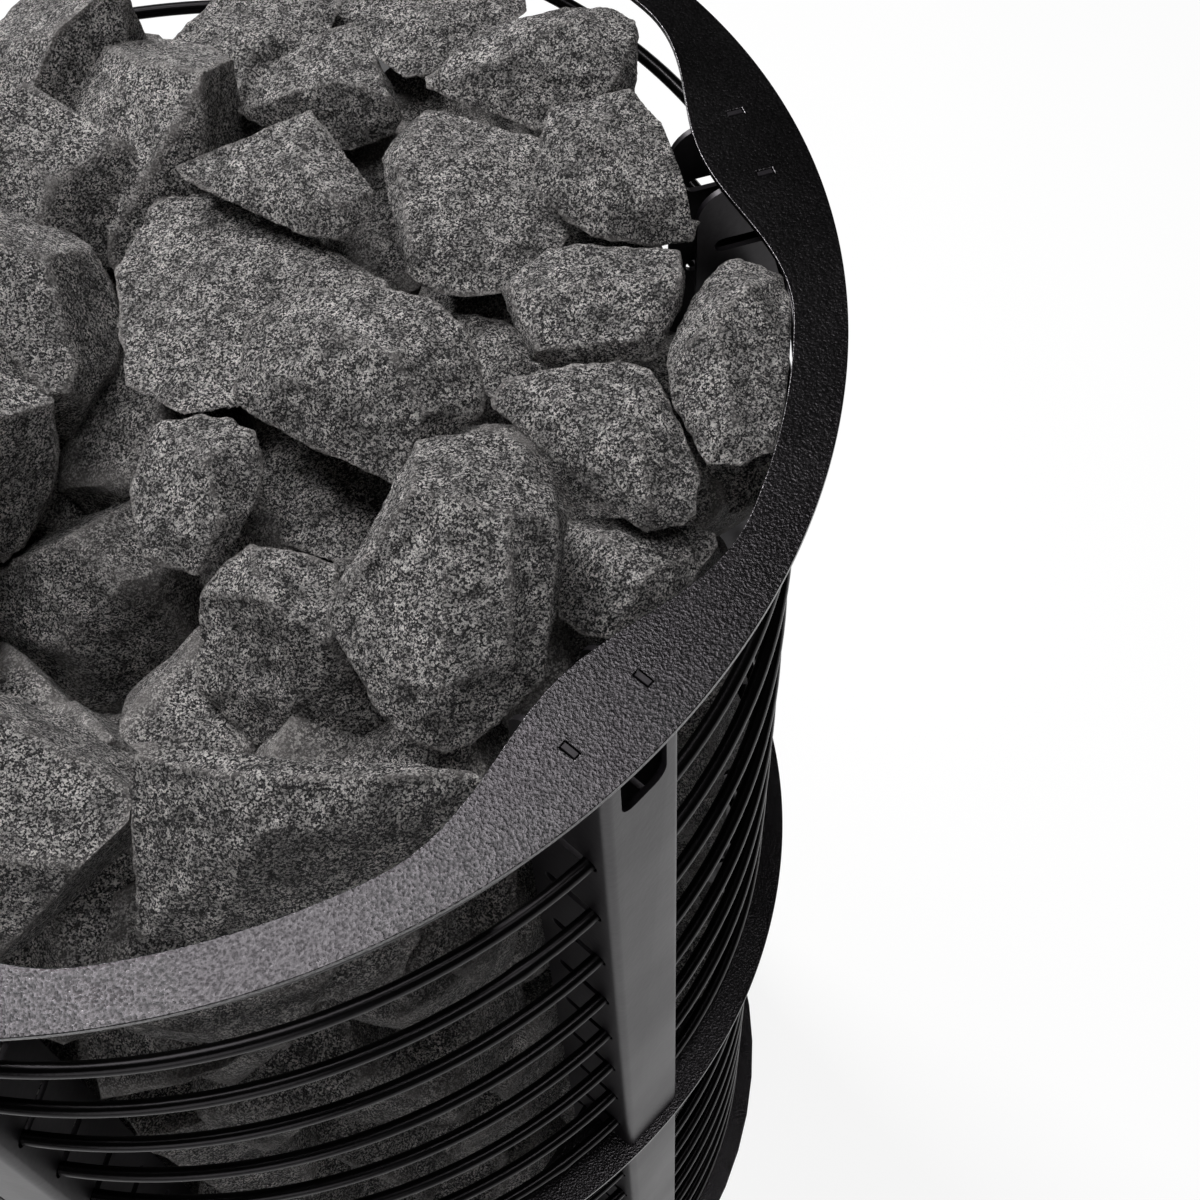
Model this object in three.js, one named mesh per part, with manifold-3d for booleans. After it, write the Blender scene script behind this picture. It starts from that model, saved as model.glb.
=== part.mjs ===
// A free-standing pillar sauna stove: a round two-tier basket of steel rings, folded posts and rod hoops,
// filled with broken stones round three tubular heating elements, on a base plate with levelling feet.
// Millimetres, +Z up. The origin is on the floor, on the stove's axis. Post 1 lies on +X.
import * as THREE from "three";
import { mergeVertices } from "three/addons/utils/BufferGeometryUtils.js";
import Module from "manifold-3d";

const wasm = await Module();
wasm.setup();

// Fits
const SEAT_GAP = 0.3; // between pieces that rest on each other
const FIT = 0.3; // round a piece that passes through a hole or a slot
const STONE_GAP = 0.8; // between stones that touch
const STONE_FRAME_GAP = 3; // between the stones and the steel round them

// Rings
const RING_RADIUS = 225;
const RING_WIDTH = 16;
const RING_SHEET = 2;
const RING_WIDENING = 17; // how much further in the ring reaches at a post
const WIDENING_HALF_ANGLE = 20; // degrees to each side of a post
const RING_STEPS = 60;
const HOLE_SIDES = 12;
const ARC_STEPS = 1; // half the steps on a fold or a rounded corner

// Tiers
const TIER_HEIGHT = 360; // from one ring's top face to the next
const FLOOR_CLEARANCE = 57; // under the base plate
const BASE_SHEET = 3;

// Posts
const POST_COUNT = 6;
const POST_SETBACK = 4; // from the ring's edge to the post's outer face
const POST_WIDTH = 30;
const POST_DEPTH = 35;
const POST_SHEET = 2;
const POST_BEND = 3; // outer radius of the folds
const POST_CORNER = 12; // radius of the flanges' upper inner corners
const NOTCH_WIDTH = 18;
const NOTCH_DEPTH = 29;
const NOTCH_CORNER = 5;
const TAB_LENGTH = 5;
const UPPER_TAB_INSET = 16.5; // from the ring's edge to the middle of a tab at a post's top
const LOWER_TAB_INSET = 26.5; // the same at a post's foot

// Hoops
const HOOP_COUNT = 9; // in each tier
const HOOP_ROD = 5;
const HOOP_SETBACK = 5.8; // from the posts' outer face to the outside of the rod
const HOOP_TOP_DROP = 27; // from a tier's upper face to the highest hoop
const HOOP_FOOT_RISE = 22.6; // from a tier's lower face to the lowest hoop
const HOOP_STEPS = 24;
const ROD_SIDES = 5;
const SLOT_END_MARGIN = 6; // steel left between a slot and the flange's inner edge

// Base plate
const VENT_COUNT = 6;
const VENT_RADIUS = 14;
const VENT_INSET = 75; // from the ring's edge to a vent's middle

// Heating elements
const ELEMENT_COUNT = 3;
const ELEMENT_TUBE = 8;
const ELEMENT_SPACING = 60; // between the two legs of one element
const ELEMENT_INSET = 130; // from the ring's edge to the element's plane
const ELEMENT_TAIL = 18; // below the base plate
const ELEMENT_TOP_GAP = 14; // under the roof of the stones' hollow
const BEND_STEPS = 8;
const COLLAR_RADIUS = 9;
const COLLAR_HEIGHT = 6;

// Stones
const STONE_LAYER = 70; // from the rim's top face down to the bed that carries the top stones
const BED_ROOF = 50; // thickness of the bed over the elements
const BED_SHORT = 12; // from the ring's inner edge to the bed
const BED_VALLEY = 15; // depth of the hollows between the bed's stones
const BED_STONE_ROWS = 5; // in each tier
const BED_STONES_ROUND = 12;
const BED_SAMPLES = 4; // steps over one stone of the bed, round the axis
const BED_ROW_SAMPLES = 2; // the same, up the tier
const ELEMENT_SPACE = 22; // between the elements and the bed
const FILL_STONES = 28; // places for smaller stones over the whole basket
const FILL_SPACING = 52; // least distance from a fill stone to a placed one
const FILL_SIZE = [74, 60, 72]; // length, width, height
const STONE_TILT = 14; // degrees at most
const STONE_LIFT = 0.42; // share of its height from the bed to its middle
const CORNER_CUT_LEAST = 1.7; // 3 would leave the corner whole
const CORNER_CUT_SPREAD = 0.6;

// Wiring space
const HOUSING_MARGIN = 16; // between the elements and the housing's wall
const HOUSING_WALL = 1.5;
const HOUSING_STEPS = 36;
const HOUSING_FLOOR_GAP = 13; // from the floor to the cover
const TERMINAL_LENGTH = 66;
const TERMINAL_WIDTH = 24;
const TERMINAL_HEIGHT = 18;
const TERMINAL_RIB = 3;
const TERMINAL_WAYS = 4;
const GLAND_SHANK = 8; // radius
const GLAND_FLANGE = 12; // radius
const GLAND_BORE = 4; // radius
const GLAND_LENGTH = 22;
const GLAND_PLATE = 4; // thickness of its flange and of its lock nut

// Feet
const FOOT_COUNT = 4;
const FOOT_INSET = 42; // from the ring's edge to the foot's axis
const FOOT_PAD = 20; // radius
const FOOT_PAD_HEIGHT = 10;
const FOOT_EDGE = 2; // chamfer of the pad
const FOOT_STEM = 5; // radius
const FOOT_NUT = 9; // radius
const FOOT_NUT_HEIGHT = 7;
const BOSS_RADIUS = 10;
const BOSS_LENGTH = 20;

// Levels that follow
const baseTop = FLOOR_CLEARANCE + BASE_SHEET;
const middleTop = baseTop + TIER_HEIGHT;
const rimTop = middleTop + TIER_HEIGHT;
const bedTop = rimTop - STONE_LAYER;
const coverTop = HOUSING_FLOOR_GAP + HOUSING_WALL;

// Radii that follow
const ringInside = RING_RADIUS - RING_WIDTH;
const postFace = RING_RADIUS - POST_SETBACK;
const flangeEdge = postFace - POST_DEPTH;
const flangeMiddle = (POST_WIDTH - POST_SHEET) / 2;
const hoopRadius = postFace - HOOP_SETBACK - HOOP_ROD / 2;
const elementRadius = RING_RADIUS - ELEMENT_INSET;
const elementTubeReach = ELEMENT_TUBE / 2 / Math.cos(Math.PI / 8);
const elementReach = Math.hypot(elementRadius, ELEMENT_SPACING / 2) + ELEMENT_TUBE / 2;
const housingRadius = elementReach + HOUSING_MARGIN;
const boreRadius = elementReach + ELEMENT_SPACE;
const footRadius = RING_RADIUS - FOOT_INSET;

// The large stones on top: place by angle from +X and distance in from the ring's edge, size as length, width
// and height, and the turn of the length from +X.
const TOP_STONES = [
  { angle: -80, inset: 50, size: [88, 60, 74], turn: 4 },
  { angle: -78, inset: 104, size: [62, 66, 82], turn: 35 },
  { angle: -57, inset: 86, size: [98, 72, 92], turn: 62 },
  { angle: -33, inset: 70, size: [76, 62, 86], turn: -20 },
  { angle: -21, inset: 46, size: [84, 46, 74], turn: 66 },
  { angle: -33, inset: 143, size: [88, 76, 90], turn: -12 },
  { angle: -14, inset: 79, size: [66, 54, 88], turn: -14 },
  { angle: 9, inset: 106, size: [84, 66, 78], turn: 70 },
  { angle: 7, inset: 58, size: [76, 62, 90], turn: -30 },
  { angle: 0, inset: 166, size: [92, 70, 74], turn: 55 },
  { angle: 45, inset: 102, size: [76, 60, 80], turn: 70 },
  { angle: 25, inset: 58, size: [82, 60, 78], turn: -16 },
];

// Colours
const COATED_SHEET = { color: "#3a393b", roughness: 0.6, metalness: 0.1 };
const COATED_POST = { color: "#565457", roughness: 0.45, metalness: 0.1 };
const COATED_ROD = { color: "#1c1c1e", roughness: 0.35, metalness: 0.1 };
const STONE = { color: "#6b6b6a", roughness: 0.95, metalness: 0 };
const STAINLESS = { color: "#9a9894", roughness: 0.35, metalness: 1 };
const ZINC_SHEET = { color: "#a7a9aa", roughness: 0.5, metalness: 1 };
const CERAMIC = { color: "#e4ddcf", roughness: 0.5, metalness: 0 };
const BLACK_PLASTIC = { color: "#202020", roughness: 0.6, metalness: 0 };

const stove = new THREE.Group();

function addPiece(name, geometry, look, turn = 0) {
  const mesh = new THREE.Mesh(geometry, new THREE.MeshStandardMaterial(look));
  mesh.name = name;
  mesh.rotation.z = turn;
  stove.add(mesh);
}

// The angle of copy i of n round the axis, with the first one at start.
const share = (i, n, start = 0) => start + (i * 2 * Math.PI) / n;

function pointAt(radius, angle) {
  return new THREE.Vector2(radius * Math.cos(angle), radius * Math.sin(angle));
}

function solidOf(geometry) {
  const bare = geometry.clone();
  bare.deleteAttribute("normal");
  bare.deleteAttribute("uv");
  const merged = mergeVertices(bare, 1e-4);
  const mesh = new wasm.Mesh({
    numProp: 3,
    vertProperties: merged.getAttribute("position").array,
    triVerts: new Uint32Array(merged.index.array),
  });
  return new wasm.Manifold(mesh);
}

function geometryOf(solid) {
  const { vertProperties, triVerts } = solid.getMesh();
  const geometry = new THREE.BufferGeometry();
  geometry.setAttribute("position", new THREE.BufferAttribute(vertProperties, 3));
  geometry.setIndex(new THREE.BufferAttribute(triVerts, 1));
  geometry.computeVertexNormals();
  return geometry;
}

// A flat outline raised from the level bottom to the level top.
function plate(shape, bottom, top) {
  const options = { depth: top - bottom, bevelEnabled: false, curveSegments: HOLE_SIDES / 2 };
  return new THREE.ExtrudeGeometry(shape, options).translate(0, 0, bottom);
}

// A profile of radius and height turned round the Z axis.
function turned(profile, sides) {
  const points = profile.map(([radius, height]) => new THREE.Vector2(radius, height));
  return new THREE.LatheGeometry(points, sides).rotateX(Math.PI / 2);
}

// An outline of radial distance and height, run through a post from side to side.
function acrossPost(shape, width) {
  const options = { depth: width, bevelEnabled: false, curveSegments: ARC_STEPS };
  return new THREE.ExtrudeGeometry(shape, options).translate(0, 0, -width / 2).rotateX(Math.PI / 2);
}

function rectangle(x0, x1, y0, y1) {
  return new THREE.Shape([[x0, y0], [x1, y0], [x1, y1], [x0, y1]].map(([x, y]) => new THREE.Vector2(x, y)));
}

// A round hole that a piece of this radius passes through.
function hole(centre, radius) {
  const clear = (radius + FIT) / Math.cos(Math.PI / HOLE_SIDES);
  return new THREE.Path().absarc(centre.x, centre.y, clear, 0, 2 * Math.PI);
}

// Rings and base plate

// The ring's inner edge at an angle: a narrow ring that widens inwards, in a smooth wave, at each post.
function ringInnerEdge(angle) {
  const pitch = (2 * Math.PI) / POST_COUNT;
  const offset = Math.abs(angle - pitch * Math.round(angle / pitch));
  const along = offset / THREE.MathUtils.degToRad(WIDENING_HALF_ANGLE);
  const wave = along < 1 ? Math.cos((along * Math.PI) / 2) ** 2 : 0;
  return ringInside - RING_WIDENING * wave;
}

function roundOutline(radiusAt) {
  const points = [];
  for (let i = 0; i < RING_STEPS; i++) {
    const angle = share(i, RING_STEPS);
    points.push(pointAt(radiusAt(angle), angle));
  }
  return points;
}

// A plate less the slots that take the tabs of every post, at one distance in from the ring's edge.
function withTabSlots(body, inset, bottom, top) {
  const x = RING_RADIUS - inset;
  const halfLength = TAB_LENGTH / 2 + FIT;
  const halfWidth = POST_SHEET / 2 + FIT;
  for (let i = 0; i < POST_COUNT; i++) {
    for (const y of [-flangeMiddle, flangeMiddle]) {
      const slot = rectangle(x - halfLength, x + halfLength, y - halfWidth, y + halfWidth);
      body = body.subtract(solidOf(plate(slot, bottom - FIT, top + FIT).rotateZ(share(i, POST_COUNT))));
    }
  }
  return body;
}

function ring(top, insets) {
  const shape = new THREE.Shape(roundOutline(() => RING_RADIUS));
  shape.holes.push(new THREE.Path(roundOutline(ringInnerEdge)));
  const bottom = top - RING_SHEET;
  const cut = (body, inset) => withTabSlots(body, inset, bottom, top);
  return geometryOf(insets.reduce(cut, solidOf(plate(shape, bottom, top))));
}

function basePlate() {
  const disc = new THREE.Shape(roundOutline(() => RING_RADIUS));
  for (let i = 0; i < VENT_COUNT; i++) {
    disc.holes.push(hole(pointAt(RING_RADIUS - VENT_INSET, share(i + 0.5, VENT_COUNT)), VENT_RADIUS));
  }
  for (const leg of elementLegs()) {
    disc.holes.push(hole(leg, elementTubeReach));
  }
  let body = solidOf(plate(disc, FLOOR_CLEARANCE, baseTop));
  body = withTabSlots(body, LOWER_TAB_INSET, FLOOR_CLEARANCE, baseTop);
  for (let i = 0; i < FOOT_COUNT; i++) {
    const centre = pointAt(footRadius, footAngle(i));
    const boss = new THREE.Shape().absarc(centre.x, centre.y, BOSS_RADIUS, 0, 2 * Math.PI);
    const bore = new THREE.Shape(hole(centre, FOOT_STEM).getPoints(HOLE_SIDES / 2));
    body = body.add(solidOf(plate(boss, FLOOR_CLEARANCE - BOSS_LENGTH, baseTop)));
    body = body.subtract(solidOf(plate(bore, FLOOR_CLEARANCE - BOSS_LENGTH - FIT, baseTop + FIT)));
  }
  return geometryOf(body);
}

addPiece("top_rim", ring(rimTop, [UPPER_TAB_INSET]), COATED_SHEET);
addPiece("middle_ring", ring(middleTop, [UPPER_TAB_INSET, LOWER_TAB_INSET]), COATED_SHEET);

// Hoops

const hoopPitch = (TIER_HEIGHT - HOOP_TOP_DROP - HOOP_FOOT_RISE) / (HOOP_COUNT - 1);
const hoopLevel = (tierTop, i) => tierTop - HOOP_TOP_DROP - i * hoopPitch;

function addHoops(tier, tierTop) {
  for (let i = 0; i < HOOP_COUNT; i++) {
    const hoop = new THREE.TorusGeometry(hoopRadius, HOOP_ROD / 2, ROD_SIDES, HOOP_STEPS);
    addPiece(`hoop_${tier}_${i + 1}`, hoop.translate(0, 0, hoopLevel(tierTop, i)), COATED_ROD);
  }
}

addHoops("upper", rimTop);
addHoops("lower", middleTop);

// Posts

// A folded U with its face outwards and its two flanges pointing at the axis.
function postSection() {
  const half = POST_WIDTH / 2;
  const fold = postFace - POST_BEND;
  const inner = POST_BEND - POST_SHEET;
  const quarter = Math.PI / 2;
  return new THREE.Shape()
    .moveTo(flangeEdge, -half)
    .lineTo(fold, -half)
    .absarc(fold, -half + POST_BEND, POST_BEND, -quarter, 0)
    .absarc(fold, half - POST_BEND, POST_BEND, 0, quarter)
    .lineTo(flangeEdge, half)
    .lineTo(flangeEdge, half - POST_SHEET)
    .absarc(fold, half - POST_BEND, inner, quarter, 0, true)
    .absarc(fold, -half + POST_BEND, inner, 0, -quarter, true)
    .lineTo(flangeEdge, -half + POST_SHEET)
    .closePath();
}

// What is cut off to round the flanges' upper inner corners.
function cornerCut(top) {
  return new THREE.Shape()
    .moveTo(flangeEdge - FIT, top + FIT)
    .lineTo(flangeEdge - FIT, top - POST_CORNER)
    .lineTo(flangeEdge, top - POST_CORNER)
    .absarc(flangeEdge + POST_CORNER, top - POST_CORNER, POST_CORNER, Math.PI, Math.PI / 2, true)
    .lineTo(flangeEdge + POST_CORNER, top + FIT)
    .closePath();
}

// The notch in the upper end of the face, an outline of width and height run through the sheet.
function notch(top) {
  const half = NOTCH_WIDTH / 2;
  const foot = top - NOTCH_DEPTH;
  const shape = new THREE.Shape()
    .moveTo(half, top + FIT)
    .lineTo(-half, top + FIT)
    .absarc(-half + NOTCH_CORNER, foot + NOTCH_CORNER, NOTCH_CORNER, Math.PI, 1.5 * Math.PI)
    .absarc(half - NOTCH_CORNER, foot + NOTCH_CORNER, NOTCH_CORNER, 1.5 * Math.PI, 2 * Math.PI)
    .closePath();
  const options = { depth: POST_SHEET + 2 * FIT, bevelEnabled: false, curveSegments: ARC_STEPS };
  const through = new THREE.ExtrudeGeometry(shape, options);
  return through.rotateX(Math.PI / 2).rotateZ(Math.PI / 2).translate(postFace - POST_SHEET - FIT, 0, 0);
}

// The two tabs at one end of a post, one on each flange, between two levels.
function tabs(inset, bottom, top) {
  const x = RING_RADIUS - inset;
  return [-flangeMiddle, flangeMiddle].map((y) => {
    const halfSheet = POST_SHEET / 2;
    return plate(rectangle(x - TAB_LENGTH / 2, x + TAB_LENGTH / 2, y - halfSheet, y + halfSheet), bottom, top);
  });
}

function post(tierTop, footSheet, notched) {
  const top = tierTop - RING_SHEET - SEAT_GAP;
  const bottom = tierTop - TIER_HEIGHT + SEAT_GAP;
  const upperTabs = tabs(UPPER_TAB_INSET, top - TAB_LENGTH, tierTop);
  const lowerTabs = tabs(LOWER_TAB_INSET, bottom - SEAT_GAP - footSheet, bottom + TAB_LENGTH);
  let body = solidOf(plate(postSection(), bottom, top));
  body = body.subtract(solidOf(acrossPost(cornerCut(top), POST_WIDTH + 2 * FIT)));
  if (notched) {
    body = body.subtract(solidOf(notch(top)));
  }
  for (let i = 0; i < HOOP_COUNT; i++) {
    const level = hoopLevel(tierTop, i);
    const half = HOOP_ROD / 2 + FIT;
    const slot = rectangle(flangeEdge + SLOT_END_MARGIN, hoopRadius + half, level - half, level + half);
    body = body.subtract(solidOf(acrossPost(slot, POST_WIDTH + 2 * FIT)));
  }
  for (const tab of [...upperTabs, ...lowerTabs]) {
    body = body.add(solidOf(tab));
  }
  return geometryOf(body);
}

const upperPost = post(rimTop, RING_SHEET, true);
const lowerPost = post(middleTop, BASE_SHEET, false);
for (let i = 0; i < POST_COUNT; i++) {
  addPiece(`post_upper_${i + 1}`, upperPost, COATED_POST, share(i, POST_COUNT));
  addPiece(`post_lower_${i + 1}`, lowerPost, COATED_POST, share(i, POST_COUNT));
}

// Heating elements

const elementAngle = (i) => share(i, ELEMENT_COUNT, Math.PI / 2);

function elementLegs() {
  const legs = [];
  for (let i = 0; i < ELEMENT_COUNT; i++) {
    for (const y of [-ELEMENT_SPACING / 2, ELEMENT_SPACING / 2]) {
      legs.push(new THREE.Vector2(elementRadius, y).rotateAround({ x: 0, y: 0 }, elementAngle(i)));
    }
  }
  return legs;
}

// A hairpin with an eight-sided tube, its bend at the top and a hexagonal collar on each leg over the base plate.
function heatingElement() {
  const half = ELEMENT_SPACING / 2;
  const outer = half + ELEMENT_TUBE / 2;
  const inner = half - ELEMENT_TUBE / 2;
  const foot = FLOOR_CLEARANCE - ELEMENT_TAIL;
  const bend = bedTop - BED_ROOF - ELEMENT_TOP_GAP - outer;
  const chamfer = ELEMENT_TUBE / (2 + Math.SQRT2);
  const shape = new THREE.Shape()
    .moveTo(outer, foot)
    .lineTo(outer, bend)
    .absarc(0, bend, outer, 0, Math.PI)
    .lineTo(-outer, foot)
    .lineTo(-inner, foot)
    .absarc(0, bend, inner, Math.PI, 0, true)
    .lineTo(inner, foot)
    .closePath();
  const options = {
    depth: ELEMENT_TUBE - 2 * chamfer,
    bevelThickness: chamfer,
    bevelSize: chamfer,
    bevelOffset: -chamfer,
    bevelSegments: 1,
    curveSegments: BEND_STEPS / 2,
  };
  const tube = new THREE.ExtrudeGeometry(shape, options).translate(0, 0, chamfer - ELEMENT_TUBE / 2);
  let body = solidOf(tube.rotateX(Math.PI / 2).rotateZ(Math.PI / 2));
  for (const y of [-half, half]) {
    const collar = new THREE.CylinderGeometry(COLLAR_RADIUS, COLLAR_RADIUS, COLLAR_HEIGHT, 6).rotateX(Math.PI / 2);
    body = body.add(solidOf(collar.translate(0, y, baseTop + SEAT_GAP + COLLAR_HEIGHT / 2)));
  }
  return geometryOf(body).translate(elementRadius, 0, 0);
}

for (let i = 0; i < ELEMENT_COUNT; i++) {
  addPiece(`heating_element_${i + 1}`, heatingElement(), STAINLESS, elementAngle(i));
}

// Levelling feet: a round pad, a lock nut and a threaded stem, turned in one piece

const footAngle = (i) => share(i + 0.5, FOOT_COUNT);

function levellingFoot() {
  const nutTop = FLOOR_CLEARANCE - BOSS_LENGTH - SEAT_GAP;
  const nutFoot = nutTop - FOOT_NUT_HEIGHT;
  const stemTop = baseTop - FIT;
  const profile = [
    [0, 0],
    [FOOT_PAD - FOOT_EDGE, 0],
    [FOOT_PAD, FOOT_EDGE],
    [FOOT_PAD, FOOT_PAD_HEIGHT],
    [FOOT_STEM, FOOT_PAD_HEIGHT],
    [FOOT_STEM, nutFoot],
    [FOOT_NUT, nutFoot],
    [FOOT_NUT, nutTop],
    [FOOT_STEM, nutTop],
    [FOOT_STEM, stemTop],
    [0, stemTop],
  ];
  return turned(profile, HOLE_SIDES).translate(footRadius, 0, 0);
}

addPiece("base_plate", basePlate(), COATED_SHEET);
for (let i = 0; i < FOOT_COUNT; i++) {
  addPiece(`levelling_foot_${i + 1}`, levellingFoot(), ZINC_SHEET, footAngle(i));
}

// Wiring space: a round housing under the base plate, closed by a cover that carries the terminal block

const glandLevel = (coverTop + FLOOR_CLEARANCE) / 2;

function junctionHousing() {
  const inside = housingRadius - HOUSING_WALL;
  const bottom = coverTop + SEAT_GAP;
  const top = FLOOR_CLEARANCE - SEAT_GAP;
  const wall = turned(
    [[inside, bottom], [housingRadius, bottom], [housingRadius, top], [inside, top], [inside, bottom]],
    HOUSING_STEPS,
  );
  const clear = (GLAND_SHANK + FIT) / Math.cos(Math.PI / HOLE_SIDES);
  const drill = new THREE.CylinderGeometry(clear, clear, 2 * GLAND_LENGTH, HOLE_SIDES);
  return geometryOf(solidOf(wall).subtract(solidOf(drill.translate(0, housingRadius, glandLevel))));
}

function junctionCover() {
  const profile = [[0, HOUSING_FLOOR_GAP], [housingRadius, HOUSING_FLOOR_GAP], [housingRadius, coverTop], [0, coverTop]];
  return turned(profile, HOUSING_STEPS);
}

function cableGland() {
  const outside = FIT;
  const curve = housingRadius - Math.sqrt(housingRadius ** 2 - GLAND_FLANGE ** 2);
  const facet = housingRadius * (1 - Math.cos(Math.PI / HOUSING_STEPS));
  const inside = -HOUSING_WALL - curve - facet - FIT;
  const dome = GLAND_FLANGE - 2;
  const profile = [
    [GLAND_BORE, inside - GLAND_PLATE],
    [GLAND_FLANGE, inside - GLAND_PLATE],
    [GLAND_FLANGE, inside],
    [GLAND_SHANK, inside],
    [GLAND_SHANK, outside],
    [GLAND_FLANGE, outside],
    [GLAND_FLANGE, outside + GLAND_PLATE],
    [dome, outside + GLAND_PLATE],
    [dome, GLAND_LENGTH - GLAND_PLATE],
    [GLAND_SHANK, GLAND_LENGTH],
    [GLAND_BORE, GLAND_LENGTH],
    [GLAND_BORE, inside - GLAND_PLATE],
  ];
  return turned(profile, HOLE_SIDES).rotateX(-Math.PI / 2).translate(0, housingRadius, glandLevel);
}

// A comb of walls, with one open way for a wire between each two.
function terminalBlock() {
  const pitch = (TERMINAL_LENGTH - TERMINAL_RIB) / TERMINAL_WAYS;
  const start = -TERMINAL_LENGTH / 2;
  const foot = coverTop + SEAT_GAP;
  const deck = foot + TERMINAL_HEIGHT / 2;
  const points = [new THREE.Vector2(-start, foot), new THREE.Vector2(start, foot)];
  for (let i = 0; i <= TERMINAL_WAYS; i++) {
    const x = start + i * pitch;
    if (i > 0) {
      points.push(new THREE.Vector2(x, deck));
    }
    points.push(new THREE.Vector2(x, foot + TERMINAL_HEIGHT));
    points.push(new THREE.Vector2(x + TERMINAL_RIB, foot + TERMINAL_HEIGHT));
    if (i < TERMINAL_WAYS) {
      points.push(new THREE.Vector2(x + TERMINAL_RIB, deck));
    }
  }
  return acrossPost(new THREE.Shape(points.reverse()), TERMINAL_WIDTH);
}

addPiece("junction_housing", junctionHousing(), ZINC_SHEET);
addPiece("junction_cover", junctionCover(), ZINC_SHEET);
addPiece("terminal_block", terminalBlock(), CERAMIC);
addPiece("cable_gland", cableGland(), BLACK_PLASTIC);

// Stones

// A number from 0 to 1 that looks random and is the same each time.
function chance(seed, index) {
  const wave = Math.sin(seed * 12.9898 + index * 78.233) * 43758.5453;
  return wave - Math.floor(wave);
}

// The bed's outer radius: rows of blunt stones with hollows between them, clear of the ring and the posts.
function bedRadius(angle, rise) {
  const row = Math.floor(rise * BED_STONE_ROWS);
  const up = rise * BED_STONE_ROWS - row;
  const place = (angle / (2 * Math.PI)) * BED_STONES_ROUND + row / 2;
  const stone = Math.floor(place);
  const along = place - stone;
  const edge = Math.min(1, BED_SAMPLES * Math.min(along, 1 - along), BED_ROW_SAMPLES * Math.min(up, 1 - up));
  const fullness = edge * (0.6 + 0.4 * chance(row + 1, stone));
  return ringInnerEdge(angle) - BED_SHORT - BED_VALLEY * (1 - fullness);
}

// A bed between two levels: an outer wall in steps from bottom to top, closed by the points given for its inside.
function bed(bottom, top, inside) {
  const steps = BED_STONE_ROWS * BED_ROW_SAMPLES;
  const wall = [];
  for (let i = 0; i <= steps; i++) {
    wall.push([ringInside, bottom + ((top - bottom) * i) / steps]);
  }
  const { before, after } = inside;
  const geometry = turned([...before, ...wall, ...after], BED_STONES_ROUND * BED_SAMPLES);
  const position = geometry.getAttribute("position");
  for (let i = 0; i < position.count; i++) {
    const [x, y, z] = [position.getX(i), position.getY(i), position.getZ(i)];
    if (Math.hypot(x, y) > boreRadius + STONE_GAP) {
      const angle = Math.atan2(y, x);
      const place = pointAt(bedRadius(angle, (z - bottom) / (top - bottom)), angle);
      position.setXY(i, place.x, place.y);
    }
  }
  return solidOf(geometry);
}

function lowerBed() {
  const bottom = baseTop + SEAT_GAP;
  const top = middleTop - SEAT_GAP;
  return bed(bottom, top, { before: [[boreRadius, bottom]], after: [[boreRadius, top], [boreRadius, bottom]] });
}

function upperBed() {
  const roof = bedTop - BED_ROOF;
  const before = [[0, roof], [boreRadius, roof], [boreRadius, middleTop]];
  return bed(middleTop, bedTop, { before, after: [[0, bedTop]] });
}

// A stone's middle and its turn in space, tilted a little by chance.
function placeStone({ angle, inset, size, turn }, seed) {
  const place = pointAt(RING_RADIUS - inset, THREE.MathUtils.degToRad(angle));
  const tilt = [0, 1].map((axis) => STONE_TILT * (2 * chance(seed, axis) - 1));
  const euler = new THREE.Euler(...tilt.map(THREE.MathUtils.degToRad), THREE.MathUtils.degToRad(turn), "ZYX");
  const middle = new THREE.Vector3(place.x, place.y, bedTop + STONE_LIFT * size[2]);
  return { seed, size, middle, spin: new THREE.Quaternion().setFromEuler(euler) };
}

// Small stones in a sunflower pattern over the basket, where no placed stone is.
function fillStones(placed) {
  const stones = [];
  for (let i = 0; i < FILL_STONES; i++) {
    const radius = (ringInside - FILL_SIZE[1] / 2) * Math.sqrt((i + 0.5) / FILL_STONES);
    const angle = i * 180 * (3 - Math.sqrt(5));
    const place = { angle, inset: RING_RADIUS - radius, size: FILL_SIZE, turn: 360 * chance(i, 2) };
    const stone = placeStone(place, TOP_STONES.length + i);
    if (placed.every(({ middle }) => middle.distanceTo(stone.middle) > FILL_SPACING)) {
      stones.push(stone);
    }
  }
  return stones;
}

// How far a stone's block reaches from its middle in a direction.
function reach({ size, spin }, direction) {
  const local = direction.clone().applyQuaternion(spin.clone().invert());
  return (Math.abs(local.x) * size[0] + Math.abs(local.y) * size[1] + Math.abs(local.z) * size[2]) / 2;
}

function keepBehind(body, normal, distance) {
  return body.trimByPlane(normal.clone().negate().toArray(), -distance);
}

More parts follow.
